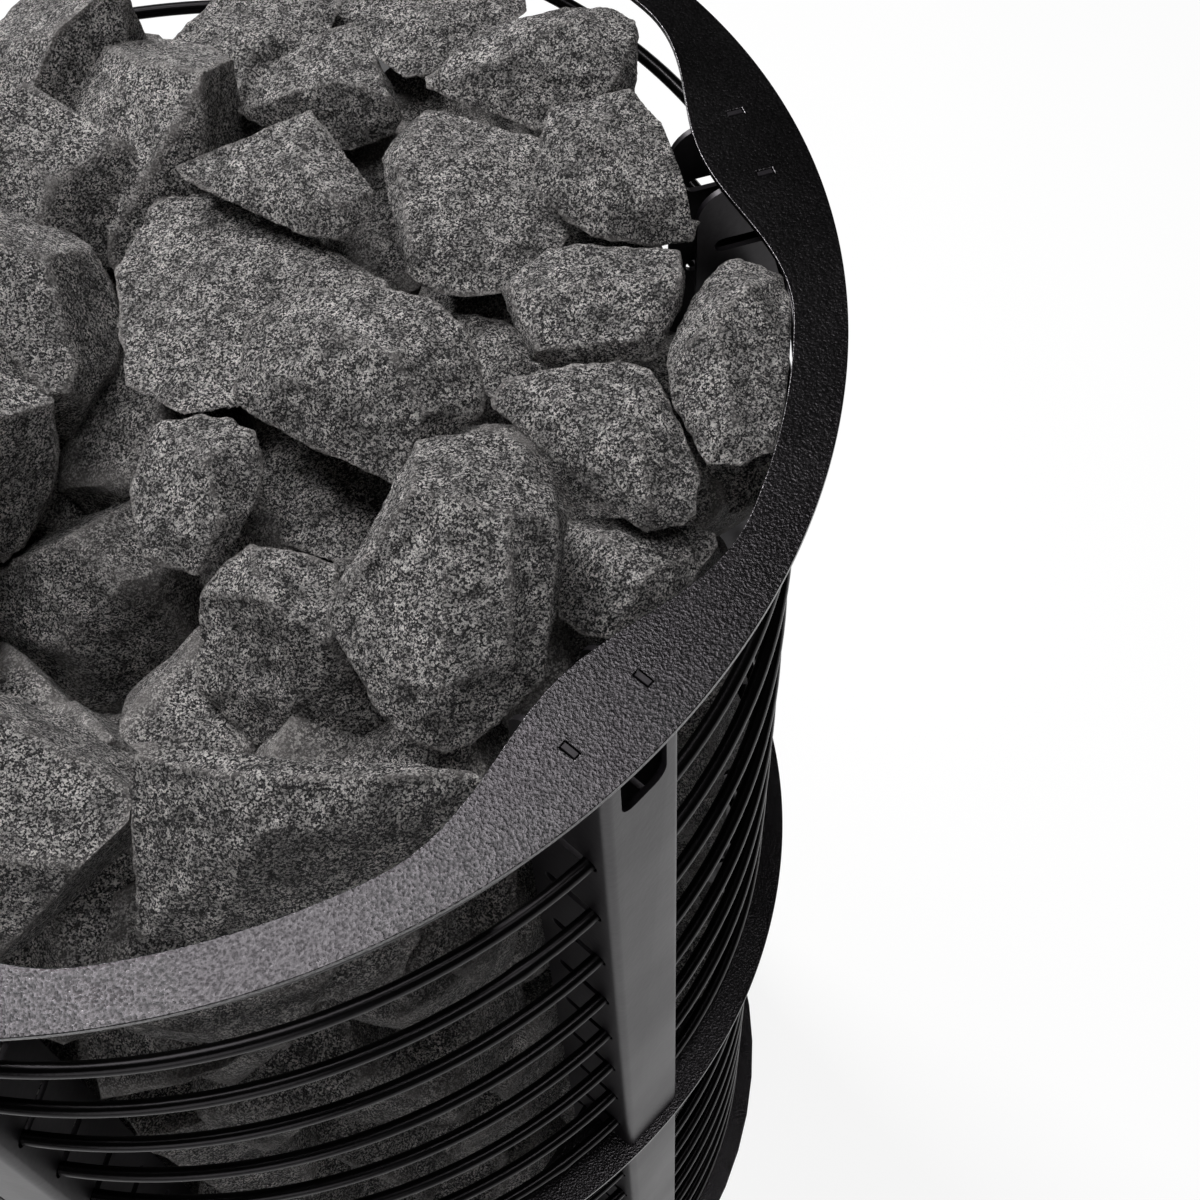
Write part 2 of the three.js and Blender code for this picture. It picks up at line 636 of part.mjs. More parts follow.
// A broken stone: a block with its corners struck off, cut clear of the stones beside it and of the steel.
function brokenStone(stone, all) {
  const { seed, size, middle, spin } = stone;
  const block = new THREE.BoxGeometry(...size).applyQuaternion(spin).translate(...middle.toArray());
  let body = solidOf(block);
  for (let corner = 0; corner < 8; corner++) {
    const signs = [0, 1, 2].map((axis) => (corner & (1 << axis) ? 1 : -1));
    const normal = new THREE.Vector3(...signs.map((sign, axis) => sign / size[axis]));
    const depth = (CORNER_CUT_LEAST + CORNER_CUT_SPREAD * chance(seed, corner + 3)) / normal.length() / 2;
    normal.normalize().applyQuaternion(spin);
    body = keepBehind(body, normal, normal.dot(middle) + depth);
  }
  for (const other of all) {
    const across = other.middle.clone().sub(middle);
    const distance = across.length();
    if (other !== stone && distance < size[0] + other.size[0]) {
      across.normalize();
      const own = reach(stone, across);
      const part = (distance * own) / (own + reach(other, across));
      body = keepBehind(body, across, across.dot(middle) + part - STONE_GAP / 2);
    }
  }
  for (let i = 0; i < POST_COUNT; i++) {
    const outward = new THREE.Vector3(...pointAt(1, share(i, POST_COUNT)).toArray(), 0);
    body = keepBehind(body, outward, flangeEdge - STONE_FRAME_GAP);
  }
  const outward = new THREE.Vector3(middle.x, middle.y, 0).normalize();
  const limit = Math.sqrt((ringInside - STONE_FRAME_GAP) ** 2 - (size[0] / 2) ** 2);
  return keepBehind(body, outward, limit);
}

const placedStones = TOP_STONES.map(placeStone);
const looseStones = fillStones(placedStones);
const allStones = [...placedStones, ...looseStones];
const up = new THREE.Vector3(0, 0, 1);

let stoneBed = upperBed();
for (const stone of looseStones) {
  stoneBed = stoneBed.add(brokenStone(stone, allStones));
}
addPiece("stone_bed_lower", geometryOf(lowerBed()), STONE);
addPiece("stone_bed_upper", geometryOf(stoneBed), STONE);
placedStones.forEach((stone, i) => {
  const seated = brokenStone(stone, allStones).trimByPlane(up.toArray(), bedTop + SEAT_GAP);
  addPiece(`stone_${String(i + 1).padStart(2, "0")}`, geometryOf(seated), STONE);
});

export default stove;
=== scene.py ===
"""A pillar sauna stove: a round basket of coated steel full of broken stones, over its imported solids."""
import math
import random

import bmesh
import bpy
import numpy
from bpy.props import FloatProperty, FloatVectorProperty, IntProperty, PointerProperty
from mathutils import Matrix, Vector


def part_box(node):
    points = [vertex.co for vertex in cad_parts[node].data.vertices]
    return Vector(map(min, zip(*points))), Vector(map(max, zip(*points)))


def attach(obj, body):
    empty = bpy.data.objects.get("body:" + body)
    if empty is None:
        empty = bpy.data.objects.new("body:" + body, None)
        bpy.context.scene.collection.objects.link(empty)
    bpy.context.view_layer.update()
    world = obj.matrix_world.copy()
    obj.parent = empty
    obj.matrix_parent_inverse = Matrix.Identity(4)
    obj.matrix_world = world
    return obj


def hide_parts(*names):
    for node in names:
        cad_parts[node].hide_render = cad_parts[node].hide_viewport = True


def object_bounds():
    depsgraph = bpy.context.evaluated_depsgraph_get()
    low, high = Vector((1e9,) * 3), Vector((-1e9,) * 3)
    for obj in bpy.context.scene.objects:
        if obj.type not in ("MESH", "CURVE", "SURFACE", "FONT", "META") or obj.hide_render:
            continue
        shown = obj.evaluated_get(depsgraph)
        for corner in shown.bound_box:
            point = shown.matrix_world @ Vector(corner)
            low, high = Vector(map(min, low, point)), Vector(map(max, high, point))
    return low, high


bl_info = {
    "name": "Sauna Stove",
    "version": (1, 0, 0),
    "blender": (4, 5, 0),
    "location": "View3D > Sidebar > Stove",
    "description": "Models a round sauna stove of coated steel and loose stones over its packed solids",
    "category": "Add Mesh",
}

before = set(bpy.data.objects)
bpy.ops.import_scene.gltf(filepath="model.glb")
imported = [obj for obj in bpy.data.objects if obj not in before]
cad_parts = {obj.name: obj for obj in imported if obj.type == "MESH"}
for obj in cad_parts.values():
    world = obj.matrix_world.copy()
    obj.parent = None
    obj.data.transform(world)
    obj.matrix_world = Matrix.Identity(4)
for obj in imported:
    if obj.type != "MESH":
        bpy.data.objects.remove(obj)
CAD_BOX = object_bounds()
MM = 0.001

# Levels and sizes that the solids give, in metres.
RIM_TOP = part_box("top_rim")[1].z
MIDDLE_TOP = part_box("middle_ring")[1].z
BASE_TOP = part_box("base_plate")[1].z
RING_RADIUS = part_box("top_rim")[1].x
POST_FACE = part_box("post_upper_1")[1].x
FLANGE_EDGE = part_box("post_upper_1")[0].x
STONE_TOP = CAD_BOX[1].z - 0.2 * MM

# How many posts and hoops there are in a tier, and how many feet and elements under and in the stove.
POSTS = 6
HOOPS = 9
FEET = 4
ELEMENTS = 3

# The photograph is taken to be this many pixels on each side, and these are the camera's place and its axes.
PHOTO_SIDE = 1200
CAMERA_PLACE = Vector((0.05312, -0.38519, 1.18025))
CAMERA_FORWARD = Vector((0.12702, 0.50679, -0.85266))
CAMERA_RIGHT = Vector((0.95401, -0.29775, -0.03486))
CAMERA_UP = Vector((0.27155, 0.80901, 0.52130))
CAMERA_LENS = 52.68
SENSOR_WIDTH = 36.0

# The softboxes: place and target, side of the square, all in metres, and power in watts.
SOFTBOXES = {
    "overhead_softbox": ((-0.22, 0.42, 2.3), (0.0, 0.2, 0.75), 0.9, 16.0),
    "key_softbox": ((-0.5, 1.3, 2.0), (0.05, 0.0, 0.75), 0.45, 28.0),
    "top_softbox": ((0.3, -0.35, 2.35), (0.05, 0.05, 0.75), 0.5, 6.0),
    "front_softbox": ((-0.7, -1.8, 1.25), (0.0, 0.0, 0.5), 1.0, 8.0),
}

# The studio: the floor's radius and the width of its outer border in metres, how bright the floor shows to
# the camera and in reflections before any light falls on it, and the strength of the dim room.
FLOOR_RADIUS = 9.0
FLOOR_BORDER = 6.0
FLOOR_GLOW = 0.87
ROOM_LIGHT = 0.03

# Angles in degrees. Edges sharper than the first are rounded, and shading is smooth below the others. The
# facets of a rounded edge stand at 22.5 to the faces beside them, so a smaller angle keeps those faces flat.
SHARP_EDGE = 50
RING_SMOOTH = 15
POST_SMOOTH = 18
FOOT_SMOOTH = 30
STONE_SMOOTH = 40
ROD_SMOOTH = 60

# Details of the posts and hoops: how far a tab goes into its post, the wall left behind a hoop's slot, the
# angle in degrees where a hoop's ends are welded, and the weld's half length and swelling.
TAB_ROOT = 4 * MM
SLOT_WALL = 6 * MM
WELD_ANGLE = 168
WELD_HALF = 2.2 * MM
WELD_SWELL = 1.14

# A levelling foot's pad, the tip of its stem under the top, and its lock nut, as radius and level, and its
# thread's first level, pitch, crest, root and clear end, all in millimetres.
PAD_PROFILE = [
    (17.5, 0), (19.2, 0.6), (19.9, 2.2), (19.9, 8.6), (19.2, 9.8), (17.8, 10), (8, 10.2), (4.4, 10.6),
]
TIP_PROFILE = [(4.2, -0.4), (3.6, 0)]
NUT_PROFILE = [(8.1, 29.7), (8.9, 30.3), (8.9, 36.1), (8.1, 36.7)]
THREAD_START = 11.4
THREAD_PITCH = 1.5
THREAD_CREST = 4.9
THREAD_ROOT = 4.4
THREAD_END = 1.6

# How stones are broken up: the width of the mesh's voxels and the height of the coarse and the fine relief,
# in millimetres. What lies deeper in the heap is coarser.
TOP_BREAK = (1.2, 1.2, 2.2)
LOOSE_BREAK = (2.2, 2.0, 1.2)
UNDER_BREAK = (5, 4, 1.5)
BED_BREAK = (4.5, 2.0, 1.3)
CORE_BREAK = (9, 4, 1.0)

# Rough stones: the least and most of each side as shares of the usual width, how often a corner is struck
# off, and the least and most of what is left between the middle and such a cut.
STONE_SIDES = ((1.05, 1.3), (0.85, 1.05), (0.7, 0.95))
STRIKES = 11
STRIKE_DEPTH = (0.5, 0.68)

# Shares of a top stone's outline: what its hull takes, since the relief swells it again, and its back.
HULL_SHARE = 0.965
BACK_SHARE = 0.62

# Room between a stone and a post.
POST_GAP = 2 * MM

# Loose stones on top: places in the pattern, its radius, its depth under the rim, the least distance to a
# shown stone's middle, and the stones' scale. Lengths are in millimetres.
LOOSE_PLACES = 36
LOOSE_RADIUS = 178
LOOSE_DROP = 30
LOOSE_DISTANCE = 54
LOOSE_SCALE = 0.98

# Stones under those: the depths of two layers, the radius and number of each round, and the stones' scale.
UNDER_DROPS = (82, 122)
UNDER_ROUNDS = ((0, 1), (56, 6), (112, 12), (165, 17))
UNDER_SCALE = 1.05

# Stones behind the hoops: the radius of the shown and of the inner rounds and the room over the stones of
# each tier, in millimetres, how far a stone may stray along its row, as a share of its place, and up or down,
# in millimetres, and its scale.
BED_RADIUS = 172
CORE_RADIUS = 140
UPPER_ROOM = 58
LOWER_ROOM = 8
STRAY_ALONG = 0.14
STRAY_UP = 4
BED_SCALE = (0.98, 1.2)

# The coats: which colour, roughness, width of the orange peel in millimetres, its relief, and refraction.
COATS = {
    # Textured powder coat: nearly black, and its grit breaks what it mirrors into a soft glittering band.
    "textured_powder_coat": ("coat", 0.24, 0.85, 0.75, 1.5),
    # Satin powder coat: an even black with a wide dull sheen.
    "satin_powder_coat": ("post_coat", 0.42, 2.5, 0.08, 1.41),
    # Semi-gloss coat: nearly black, with one thin bright line along the rod.
    "semi_gloss_coat": ("rod_coat", 0.26, 2.0, 0.06, 1.28),
}

# The stones that show on top. The outline and the crests are in the photograph's pixels. A crest's third
# number is how far it stands out of the outline's plane, height is the plane's level over the rim, drop is
# how much lower its near edge is, and depth is how far the stone goes down behind it, all in millimetres.
# Stones with no node lie between, on or under the others. edge_low_block only closes the gap by edge_block.
TOP_STONES = {
    "front_slab": {
        "node": "stone_01", "height": -16, "drop": 40, "depth": 40,
        "outline": [
            (120, 752), (200, 749), (271, 753), (342, 764), (439, 764), (476, 768), (491, 777),
            (484, 796), (461, 826), (409, 862), (349, 898), (293, 922), (200, 952), (130, 940),
        ],
        "crests": [
            (205, 772, 8), (271, 777, 10), (390, 776, 8), (268, 830, 14), (350, 826, 11), (215, 850, 6),
        ],
    },
    "front_left_block": {
        "node": "stone_02", "height": -38, "drop": 46, "depth": 38,
        "outline": [
            (196, 590), (222, 557), (248, 539), (293, 546), (338, 560), (345, 610), (365, 669),
            (392, 721), (392, 747), (357, 762), (293, 758), (252, 747), (235, 730), (192, 690),
        ],
        "crests": [(267, 601, 14), (330, 640, 13), (300, 700, 10)],
    },
    "front_boulder": {
        "node": "stone_03", "height": -8, "drop": 38, "depth": 44,
        "outline": [
            (415, 436), (487, 422), (528, 437), (555, 471), (570, 508), (568, 575), (555, 639),
            (547, 687), (499, 725), (476, 747), (443, 758), (409, 745), (379, 721), (349, 669),
            (323, 624), (325, 602), (357, 549), (387, 508), (408, 486),
        ],
        "crests": [
            (412, 490, 18), (450, 497, 19), (510, 513, 19), (560, 521, 11), (440, 690, 11),
            (510, 660, 10),
        ],
    },
    "right_slab": {
        "node": "stone_04", "height": -5, "drop": 20, "depth": 34,
        "outline": [
            (486, 398), (501, 378), (533, 370), (574, 362), (621, 357), (654, 367), (664, 399),
            (682, 430), (696, 452), (704, 478), (698, 519), (685, 529), (648, 536), (637, 531),
            (622, 508), (607, 490), (573, 448), (558, 441), (528, 430), (506, 419), (489, 407),
        ],
        "crests": [(640, 440, 8), (560, 400, 5), (650, 505, 6)],
    },
    "edge_block": {
        "node": "stone_05", "height": -4, "drop": 12, "depth": 34,
        "outline": [
            (664, 370), (668, 345), (690, 300), (718, 262), (740, 254), (784, 272), (806, 330),
            (804, 405), (778, 452), (742, 470), (706, 470), (690, 440), (670, 405),
        ],
        "crests": [(748, 287, 13), (716, 316, 16), (690, 342, 11), (735, 420, 8)],
    },
    "middle_boulder": {
        "node": "stone_06", "height": -6, "drop": 26, "depth": 40,
        "outline": [
            (245, 319), (269, 302), (314, 284), (366, 281), (415, 289), (443, 302), (460, 319),
            (474, 333), (484, 360), (491, 392), (488, 416), (443, 430), (415, 447), (405, 468),
            (398, 488), (386, 484), (323, 456), (286, 437), (263, 422), (237, 411), (228, 395),
            (236, 365),
        ],
        "crests": [(349, 336, 13), (394, 357, 14), (425, 412, 11), (290, 380, 8)],
    },
    "right_block": {
        "node": "stone_07", "height": -1, "drop": 14, "depth": 36,
        "outline": [
            (496, 288), (519, 274), (547, 246), (578, 243), (682, 248), (689, 274), (685, 305),
            (661, 360), (651, 362), (564, 371), (533, 364), (519, 340), (501, 305),
        ],
        "crests": [
            (505, 287, 6), (533, 291, 10), (574, 288, 10), (630, 281, 9), (682, 277, 6), (536, 350, 8),
            (640, 340, 6),
        ],
    },
    "far_middle_block": {
        "node": "stone_08", "height": -19, "drop": 12, "depth": 36,
        "outline": [
            (378, 158), (394, 135), (408, 120), (425, 107), (450, 109), (495, 125), (541, 137),
            (556, 149), (556, 180), (560, 194), (570, 208), (575, 236), (556, 260), (520, 295),
            (463, 300), (443, 298), (415, 286), (403, 274), (399, 236), (387, 208), (387, 173),
        ],
        "crests": [(410, 134, 10), (398, 168, 10), (408, 239, 10), (470, 160, 8), (500, 240, 6)],
    },
    "far_right_slab": {
        "node": "stone_09", "height": -3, "drop": 24, "depth": 34,
        "outline": [
            (541, 137), (547, 104), (578, 100), (630, 84), (661, 118), (689, 152), (703, 177),
            (711, 201), (696, 225), (696, 244), (661, 248), (626, 244), (599, 241), (564, 222),
            (547, 199), (528, 189), (528, 170),
        ],
        "crests": [(600, 130, 8), (650, 200, 8), (690, 190, 5)],
    },
    "left_slab": {
        "node": "stone_10", "height": -20, "drop": 6, "depth": 36,
        "outline": [
            (150, 196), (221, 187), (252, 204), (283, 225), (318, 243), (349, 256), (394, 284),
            (380, 300), (320, 310), (260, 330), (245, 381), (238, 411), (180, 420), (120, 390),
            (110, 270),
        ],
        "crests": [(220, 270, 6), (300, 270, 5)],
    },
    "far_left_block": {
        "node": "stone_11", "height": -9, "drop": 24, "depth": 38,
        "outline": [
            (233, 114), (255, 80), (287, 52), (321, 31), (352, 21), (363, 28), (377, 55), (394, 87),
            (406, 118), (394, 135), (370, 146), (352, 154), (335, 150), (300, 130), (245, 122),
        ],
        "crests": [(339, 80, 13), (390, 96, 11), (280, 96, 8)],
    },
    "far_edge_block": {
        "node": "stone_12", "height": -6, "drop": 20, "depth": 36,
        "outline": [
            (420, 78), (443, 62), (477, 31), (512, 19), (564, 7), (609, 5), (640, 16), (643, 28),
            (638, 55), (640, 95), (600, 125), (560, 130), (541, 133), (495, 118), (456, 104), (422, 90),
        ],
        "crests": [(567, 21, 10), (618, 76, 8), (500, 60, 8)],
    },
    "far_top_slab": {
        "node": None, "height": -4, "drop": 14, "depth": 22,
        "outline": [
            (170, 166), (200, 156), (221, 146), (287, 118), (311, 107), (321, 120), (342, 146),
            (359, 170), (377, 191), (373, 222), (349, 239), (339, 243), (297, 236), (276, 215),
            (259, 198), (221, 184), (180, 180),
        ],
        "crests": [(300, 165, 8), (340, 205, 8)],
    },
    "right_low_block": {
        "node": None, "height": -28, "drop": 6, "depth": 32,
        "outline": [
            (562, 520), (592, 516), (640, 524), (696, 520), (721, 531), (723, 546), (704, 568),
            (685, 594), (648, 622), (611, 641), (585, 640), (556, 620), (552, 560),
        ],
        "crests": [(607, 538, 11), (648, 575, 11)],
    },
    "edge_low_block": {
        "node": None, "height": -48, "drop": 8, "depth": 30,
        "outline": [
            (690, 440), (712, 350), (745, 285), (785, 275), (812, 320), (818, 390), (806, 450),
            (775, 500), (730, 520),
        ],
        "crests": [(760, 380, 5)],
    },
    "left_block": {
        "node": None, "height": -14, "drop": 20, "depth": 36,
        "outline": [
            (150, 420), (200, 411), (234, 417), (256, 430), (260, 448), (267, 467), (256, 508),
            (241, 538), (222, 557), (195, 580), (140, 560), (125, 490),
        ],
        "crests": [(205, 460, 11), (220, 520, 8)],
    },
    "shaded_block": {
        "node": None, "height": -48, "drop": 8, "depth": 26,
        "outline": [
            (255, 420), (323, 440), (400, 470), (415, 500), (365, 560), (338, 565), (300, 550),
            (245, 535), (235, 500),
        ],
        "crests": [(320, 490, 6)],
    },
    "small_chip": {
        "node": None, "height": -38, "drop": 6, "depth": 26,
        "outline": [
            (455, 310), (501, 318), (530, 335), (550, 375), (533, 390), (495, 400), (470, 390),
            (455, 350),
        ],
        "crests": [(505, 350, 6)],
    },
    "far_low_block": {
        "node": None, "height": -30, "drop": 8, "depth": 28,
        "outline": [
            (325, 21), (340, -30), (520, -34), (530, 10), (500, 34), (474, 44), (450, 66), (425, 78),
            (404, 80), (380, 64),
        ],
        "crests": [(430, 20, 8)],
    },
    "far_corner_block": {
        "node": None, "height": -24, "drop": 10, "depth": 28,
        "outline": [
            (150, 60), (200, 30), (228, -20), (300, -34), (346, 0), (330, 40), (290, 66), (262, 92),
            (235, 112), (205, 104), (160, 96),
        ],
        "crests": [(255, 40, 10)],
    },
}


def linear(colour):
    """The linear colour, with full alpha, of an sRGB hex value."""
    shares = [int(colour[i:i + 2], 16) / 255 for i in (1, 3, 5)]
    return [s / 12.92 if s <= 0.04045 else ((s + 0.055) / 1.055) ** 2.4 for s in shares] + [1.0]


def length(name, description, millimetres):
    """A length that a user may change."""
    return FloatProperty(name=name, description=description, default=millimetres * MM, min=0.0, unit="LENGTH")


def colour(name, description, value):
    """A colour that a user may change."""
    return FloatVectorProperty(
        name=name, description=description, default=linear(value), size=4, min=0.0, max=1.0, subtype="COLOR"
    )


class StoveSteel(bpy.types.PropertyGroup):
    """Sizes of the steel basket"""

    ring_width: length("Ring width", "Width of the rings between two posts", 16)
    ring_sheet: length("Ring sheet", "Thickness of the rings", 2)
    ring_widening: length("Widening", "How much further in a ring reaches at a post", 17)
    widening_angle: FloatProperty(
        name="Widening angle", description="How far the widening runs to each side of a post",
        default=math.radians(20), subtype="ANGLE",
    )
    base_sheet: length("Base sheet", "Thickness of the base plate", 3)
    post_width: length("Post width", "Width of a post's face", 30)
    post_sheet: length("Post sheet", "Thickness of the folded posts", 2)
    post_fold: length("Fold radius", "Outer radius of the posts' folds", 3)
    post_corner: length("Flange corner", "Radius of the flanges' upper inner corners", 12)
    notch_width: length("Notch width", "Width of the notch at the top of an upper post", 18)
    notch_depth: length("Notch depth", "Depth of that notch under the rim", 29)
    notch_corner: length("Notch corner", "Radius of the notch's lower corners", 5)
    tab_length: length("Tab length", "Length of the tabs that hold a post in a ring", 5)
    upper_tab_inset: length("Upper tab inset", "From the ring's edge to the tabs at a post's top", 16.5)
    lower_tab_inset: length("Lower tab inset", "From the ring's edge to the tabs at a post's foot", 26.5)
    fit: length("Fit", "Gap round a tab in its slot", 0.3)
    rod: length("Rod", "Diameter of the hoops", 5)
    hoop_setback: length("Hoop setback", "From the posts' face to the outside of a hoop", 5.8)
    top_drop: length("Top drop", "From a tier's upper face to its highest hoop", 27)
    foot_rise: length("Foot rise", "From a tier's lower face to its lowest hoop", 22.6)
    edge: length("Edge round", "Radius left on cut edges by the coat", 0.22)


class StoveStones(bpy.types.PropertyGroup):
    """Sizes of the stones"""

    clearance: length("Clearance", "Gap between the stones and the hoops", 2)
    grain: length("Grain", "Width of the crystals that speckle the stone", 0.45)
    size: length("Stone size", "Usual width of the loose stones", 66)
    rows: IntProperty(name="Rows", description="Rows of stones in each tier", default=6, min=1)
    round_count: IntProperty(
        name="Stones in a row", description="Stones in one row of a tier", default=14, min=3
    )


class StoveColours(bpy.types.PropertyGroup):
    """Colours of the finishes"""

    coat: colour("Coat", "Fine-textured coat of the rings", "#020202")
    post_coat: colour("Post coat", "Satin coat of the posts", "#0b090c")
    rod_coat: colour("Rod coat", "Semi-gloss coat of the hoops", "#030303")
    stone_dark: colour("Dark grain", "Darkest crystals of the stone", "#070607")
    stone_mid: colour("Mid grain", "Ground colour of the stone", "#6e6a6c")
    stone_light: colour("Light grain", "Palest crystals of the stone", "#fffbf8")
    floor: colour("Floor", "Studio floor", "#747474")


def polar(radius, angle, level=0.0):
    """A point by its distance from the axis, its angle from +X and its level."""
    return Vector((radius * math.cos(angle), radius * math.sin(angle), level))


def begin():
    """Goes to object mode with nothing selected."""
    if bpy.context.object and bpy.context.object.mode != "OBJECT":
        bpy.ops.object.mode_set(mode="OBJECT")
    bpy.ops.object.select_all(action="DESELECT")


def take(piece):
    """Selects one piece alone and makes it active."""
    begin()
    piece.select_set(True)
    bpy.context.view_layer.objects.active = piece
    return piece


def edit(piece, mode):
    """Opens a piece in edit mode, to select points, edges or faces, and gives its editable mesh."""
    take(piece)
    bpy.ops.object.mode_set(mode="EDIT")
    bpy.ops.mesh.select_mode(type=mode)
    return bmesh.from_edit_mesh(piece.data)


def choose(piece, elements, test):
    """Selects the points, edges or faces that pass a test, and no others."""
    bpy.ops.mesh.select_all(action="DESELECT")
    for element in elements:
        if test(element):
            element.select_set(True)
    bmesh.update_edit_mesh(piece.data)


def close_edit(piece):
    """Goes back to object mode with the faces pointing outwards."""
    bpy.ops.mesh.select_all(action="SELECT")
    bpy.ops.mesh.normals_make_consistent(inside=False)
    bpy.ops.object.mode_set(mode="OBJECT")
    return piece


def finish_with(piece, kind, **settings):
    """Adds a modifier with these settings and applies it."""
    take(piece)
    modifier = piece.modifiers.new(kind.title(), kind)
    for name, value in settings.items():
        setattr(modifier, name, value)
    bpy.ops.object.modifier_apply(modifier=modifier.name)
    return piece


def join(pieces):
    """Joins pieces into the first one."""
    begin()
    for piece in pieces:
        piece.select_set(True)
    bpy.context.view_layer.objects.active = pieces[0]
    if len(pieces) > 1:
        bpy.ops.object.join()
    return pieces[0]


def block(centre, size, turn=0.0):
    """A block with its place, turn and size in its mesh."""
    begin()
    bpy.ops.mesh.primitive_cube_add(size=1, location=centre, rotation=(0, 0, turn), scale=size)
    bpy.ops.object.transform_apply(location=True, rotation=True, scale=True)
    return bpy.context.active_object


def cut(piece, cutters):
    """Cuts the joined cutters out of a piece and removes them."""
    cutter = join(cutters)
    finish_with(piece, "BOOLEAN", operation="DIFFERENCE", solver="EXACT", object=cutter)
    remove([cutter])
    return piece


def copy_of(piece, name, matrix):
    """A copy with its own mesh, moved by a matrix."""
    mesh = piece.data.copy()
    mesh.transform(matrix)
    made = bpy.data.objects.new(name, mesh)
    bpy.context.scene.collection.objects.link(made)
    return made


def remove(pieces):
    """Removes cutters and patterns that have done their work."""
    for piece in pieces:
        bpy.data.meshes.remove(piece.data)


def smooth(piece, degrees):
    """Shades a piece smooth, with edges sharper than an angle kept."""
    take(piece)
    bpy.ops.object.shade_smooth_by_angle(angle=math.radians(degrees))
    return piece


def dress(piece, name, body, material, nodes=()):
    """Names a finished piece, gives it its material, and sets it on its body in place of its solids."""
    piece.name = piece.data.name = name
    piece.data.materials.clear()
    piece.data.materials.append(material)
    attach(piece, body)
    if nodes:
        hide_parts(*nodes)
    return piece


def dress_solid(node, material):
    """Gives a solid that is shown as it is its material."""
    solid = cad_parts[node]
    solid.data.materials.clear()
    solid.data.materials.append(material)


def turned(profile, steps):
    """A round piece on the Z axis, raised from a disc step by step through a profile of radius and level."""
    begin()
    radius, level = profile[0]
    bpy.ops.mesh.primitive_circle_add(
        vertices=steps, radius=radius, fill_type="NGON", location=(0, 0, level)
    )
    piece = bpy.context.active_object
    bpy.ops.object.transform_apply(location=True)
    edit(piece, "FACE")
    bpy.ops.mesh.select_all(action="SELECT")
    for radius, level in profile[1:]:
        bpy.ops.mesh.extrude_region_move()
        for point in (v for v in bmesh.from_edit_mesh(piece.data).verts if v.select):
            point.co = Vector((*(radius * point.co.xy.normalized()), level))
        bmesh.update_edit_mesh(piece.data)
    return close_edit(piece)


def node_in(tree, kind, settings=None, stops=None, **links):
    """Adds a node with its settings and, for a ramp, its stops, and sets or links its inputs.

    The kind is written without its first word, ShaderNode. An input goes by its name, with spaces as
    underscores, or by an underscore and its number.
    """
    node = tree.nodes.new(f"ShaderNode{kind}")
    for name, value in (settings or {}).items():
        setattr(node, name, value)
    if stops:
        elements = node.color_ramp.elements
        while len(elements) < len(stops):
            elements.new(0.5)
        for element, (position, value) in zip(elements, stops):
            element.position = position
            element.color = value
    for name, value in links.items():
        socket = node.inputs[int(name[1:])] if name[1:].isdigit() else node.inputs[name.replace("_", " ")]
        if isinstance(value, bpy.types.NodeSocket):
            tree.links.new(value, socket)
        else:
            socket.default_value = value
    return node


def new_material(name):
    """An empty node material and its tree."""
    material = bpy.data.materials.new(name)
    material.use_nodes = True
    material.node_tree.nodes.clear()
    return material, material.node_tree


def grey(value):
    """A plain grey for masks and roughness."""
    return (value, value, value, 1.0)


def greys(*stops):
    """The stops of a ramp through these positions and greys."""
    return [(position, grey(value)) for position, value in stops]


def coated_steel(name, base, roughness, peel_mm, bump, index):
    """Black coat on steel: a thin film, duller in patches, whose orange peel breaks up what it mirrors."""
    material, tree = new_material(name)
    place = node_in(tree, "TexCoord").outputs["Object"]
    peel = node_in(
        tree, "TexNoise", Vector=place, Scale=1 / (peel_mm * MM), Detail=2.0, Roughness=0.5
    ).outputs["Fac"]
    patches = node_in(tree, "TexNoise", Vector=place, Scale=1 / (60 * MM), Detail=3.0).outputs["Fac"]
    stops = greys((0.3, roughness - 0.04), (0.7, roughness + 0.05))
    shine = node_in(tree, "ValToRGB", stops=stops, Fac=patches)
    stops = greys((0.35, 0.5 - 0.3 * bump), (0.65, 0.5 + 0.3 * bump))
    gleam = node_in(tree, "ValToRGB", stops=stops, Fac=peel)
    pale = [min(1.0, 1.5 * part) for part in base[:3]] + [1.0]
    tone = node_in(tree, "ValToRGB", stops=[(0.35, tuple(base)), (0.75, pale)], Fac=peel)
    relief = node_in(tree, "Bump", Height=peel, Strength=bump, Distance=0.3 * peel_mm * MM)
    surface = node_in(
        tree, "BsdfPrincipled", Base_Color=tone.outputs["Color"], Roughness=shine.outputs["Color"],
        Normal=relief.outputs["Normal"], IOR=index, Specular_IOR_Level=gleam.outputs["Color"],
        Specular_Tint=linear("#fff8ff"),
    )
    node_in(tree, "OutputMaterial", Surface=surface.outputs["BSDF"])
    return material


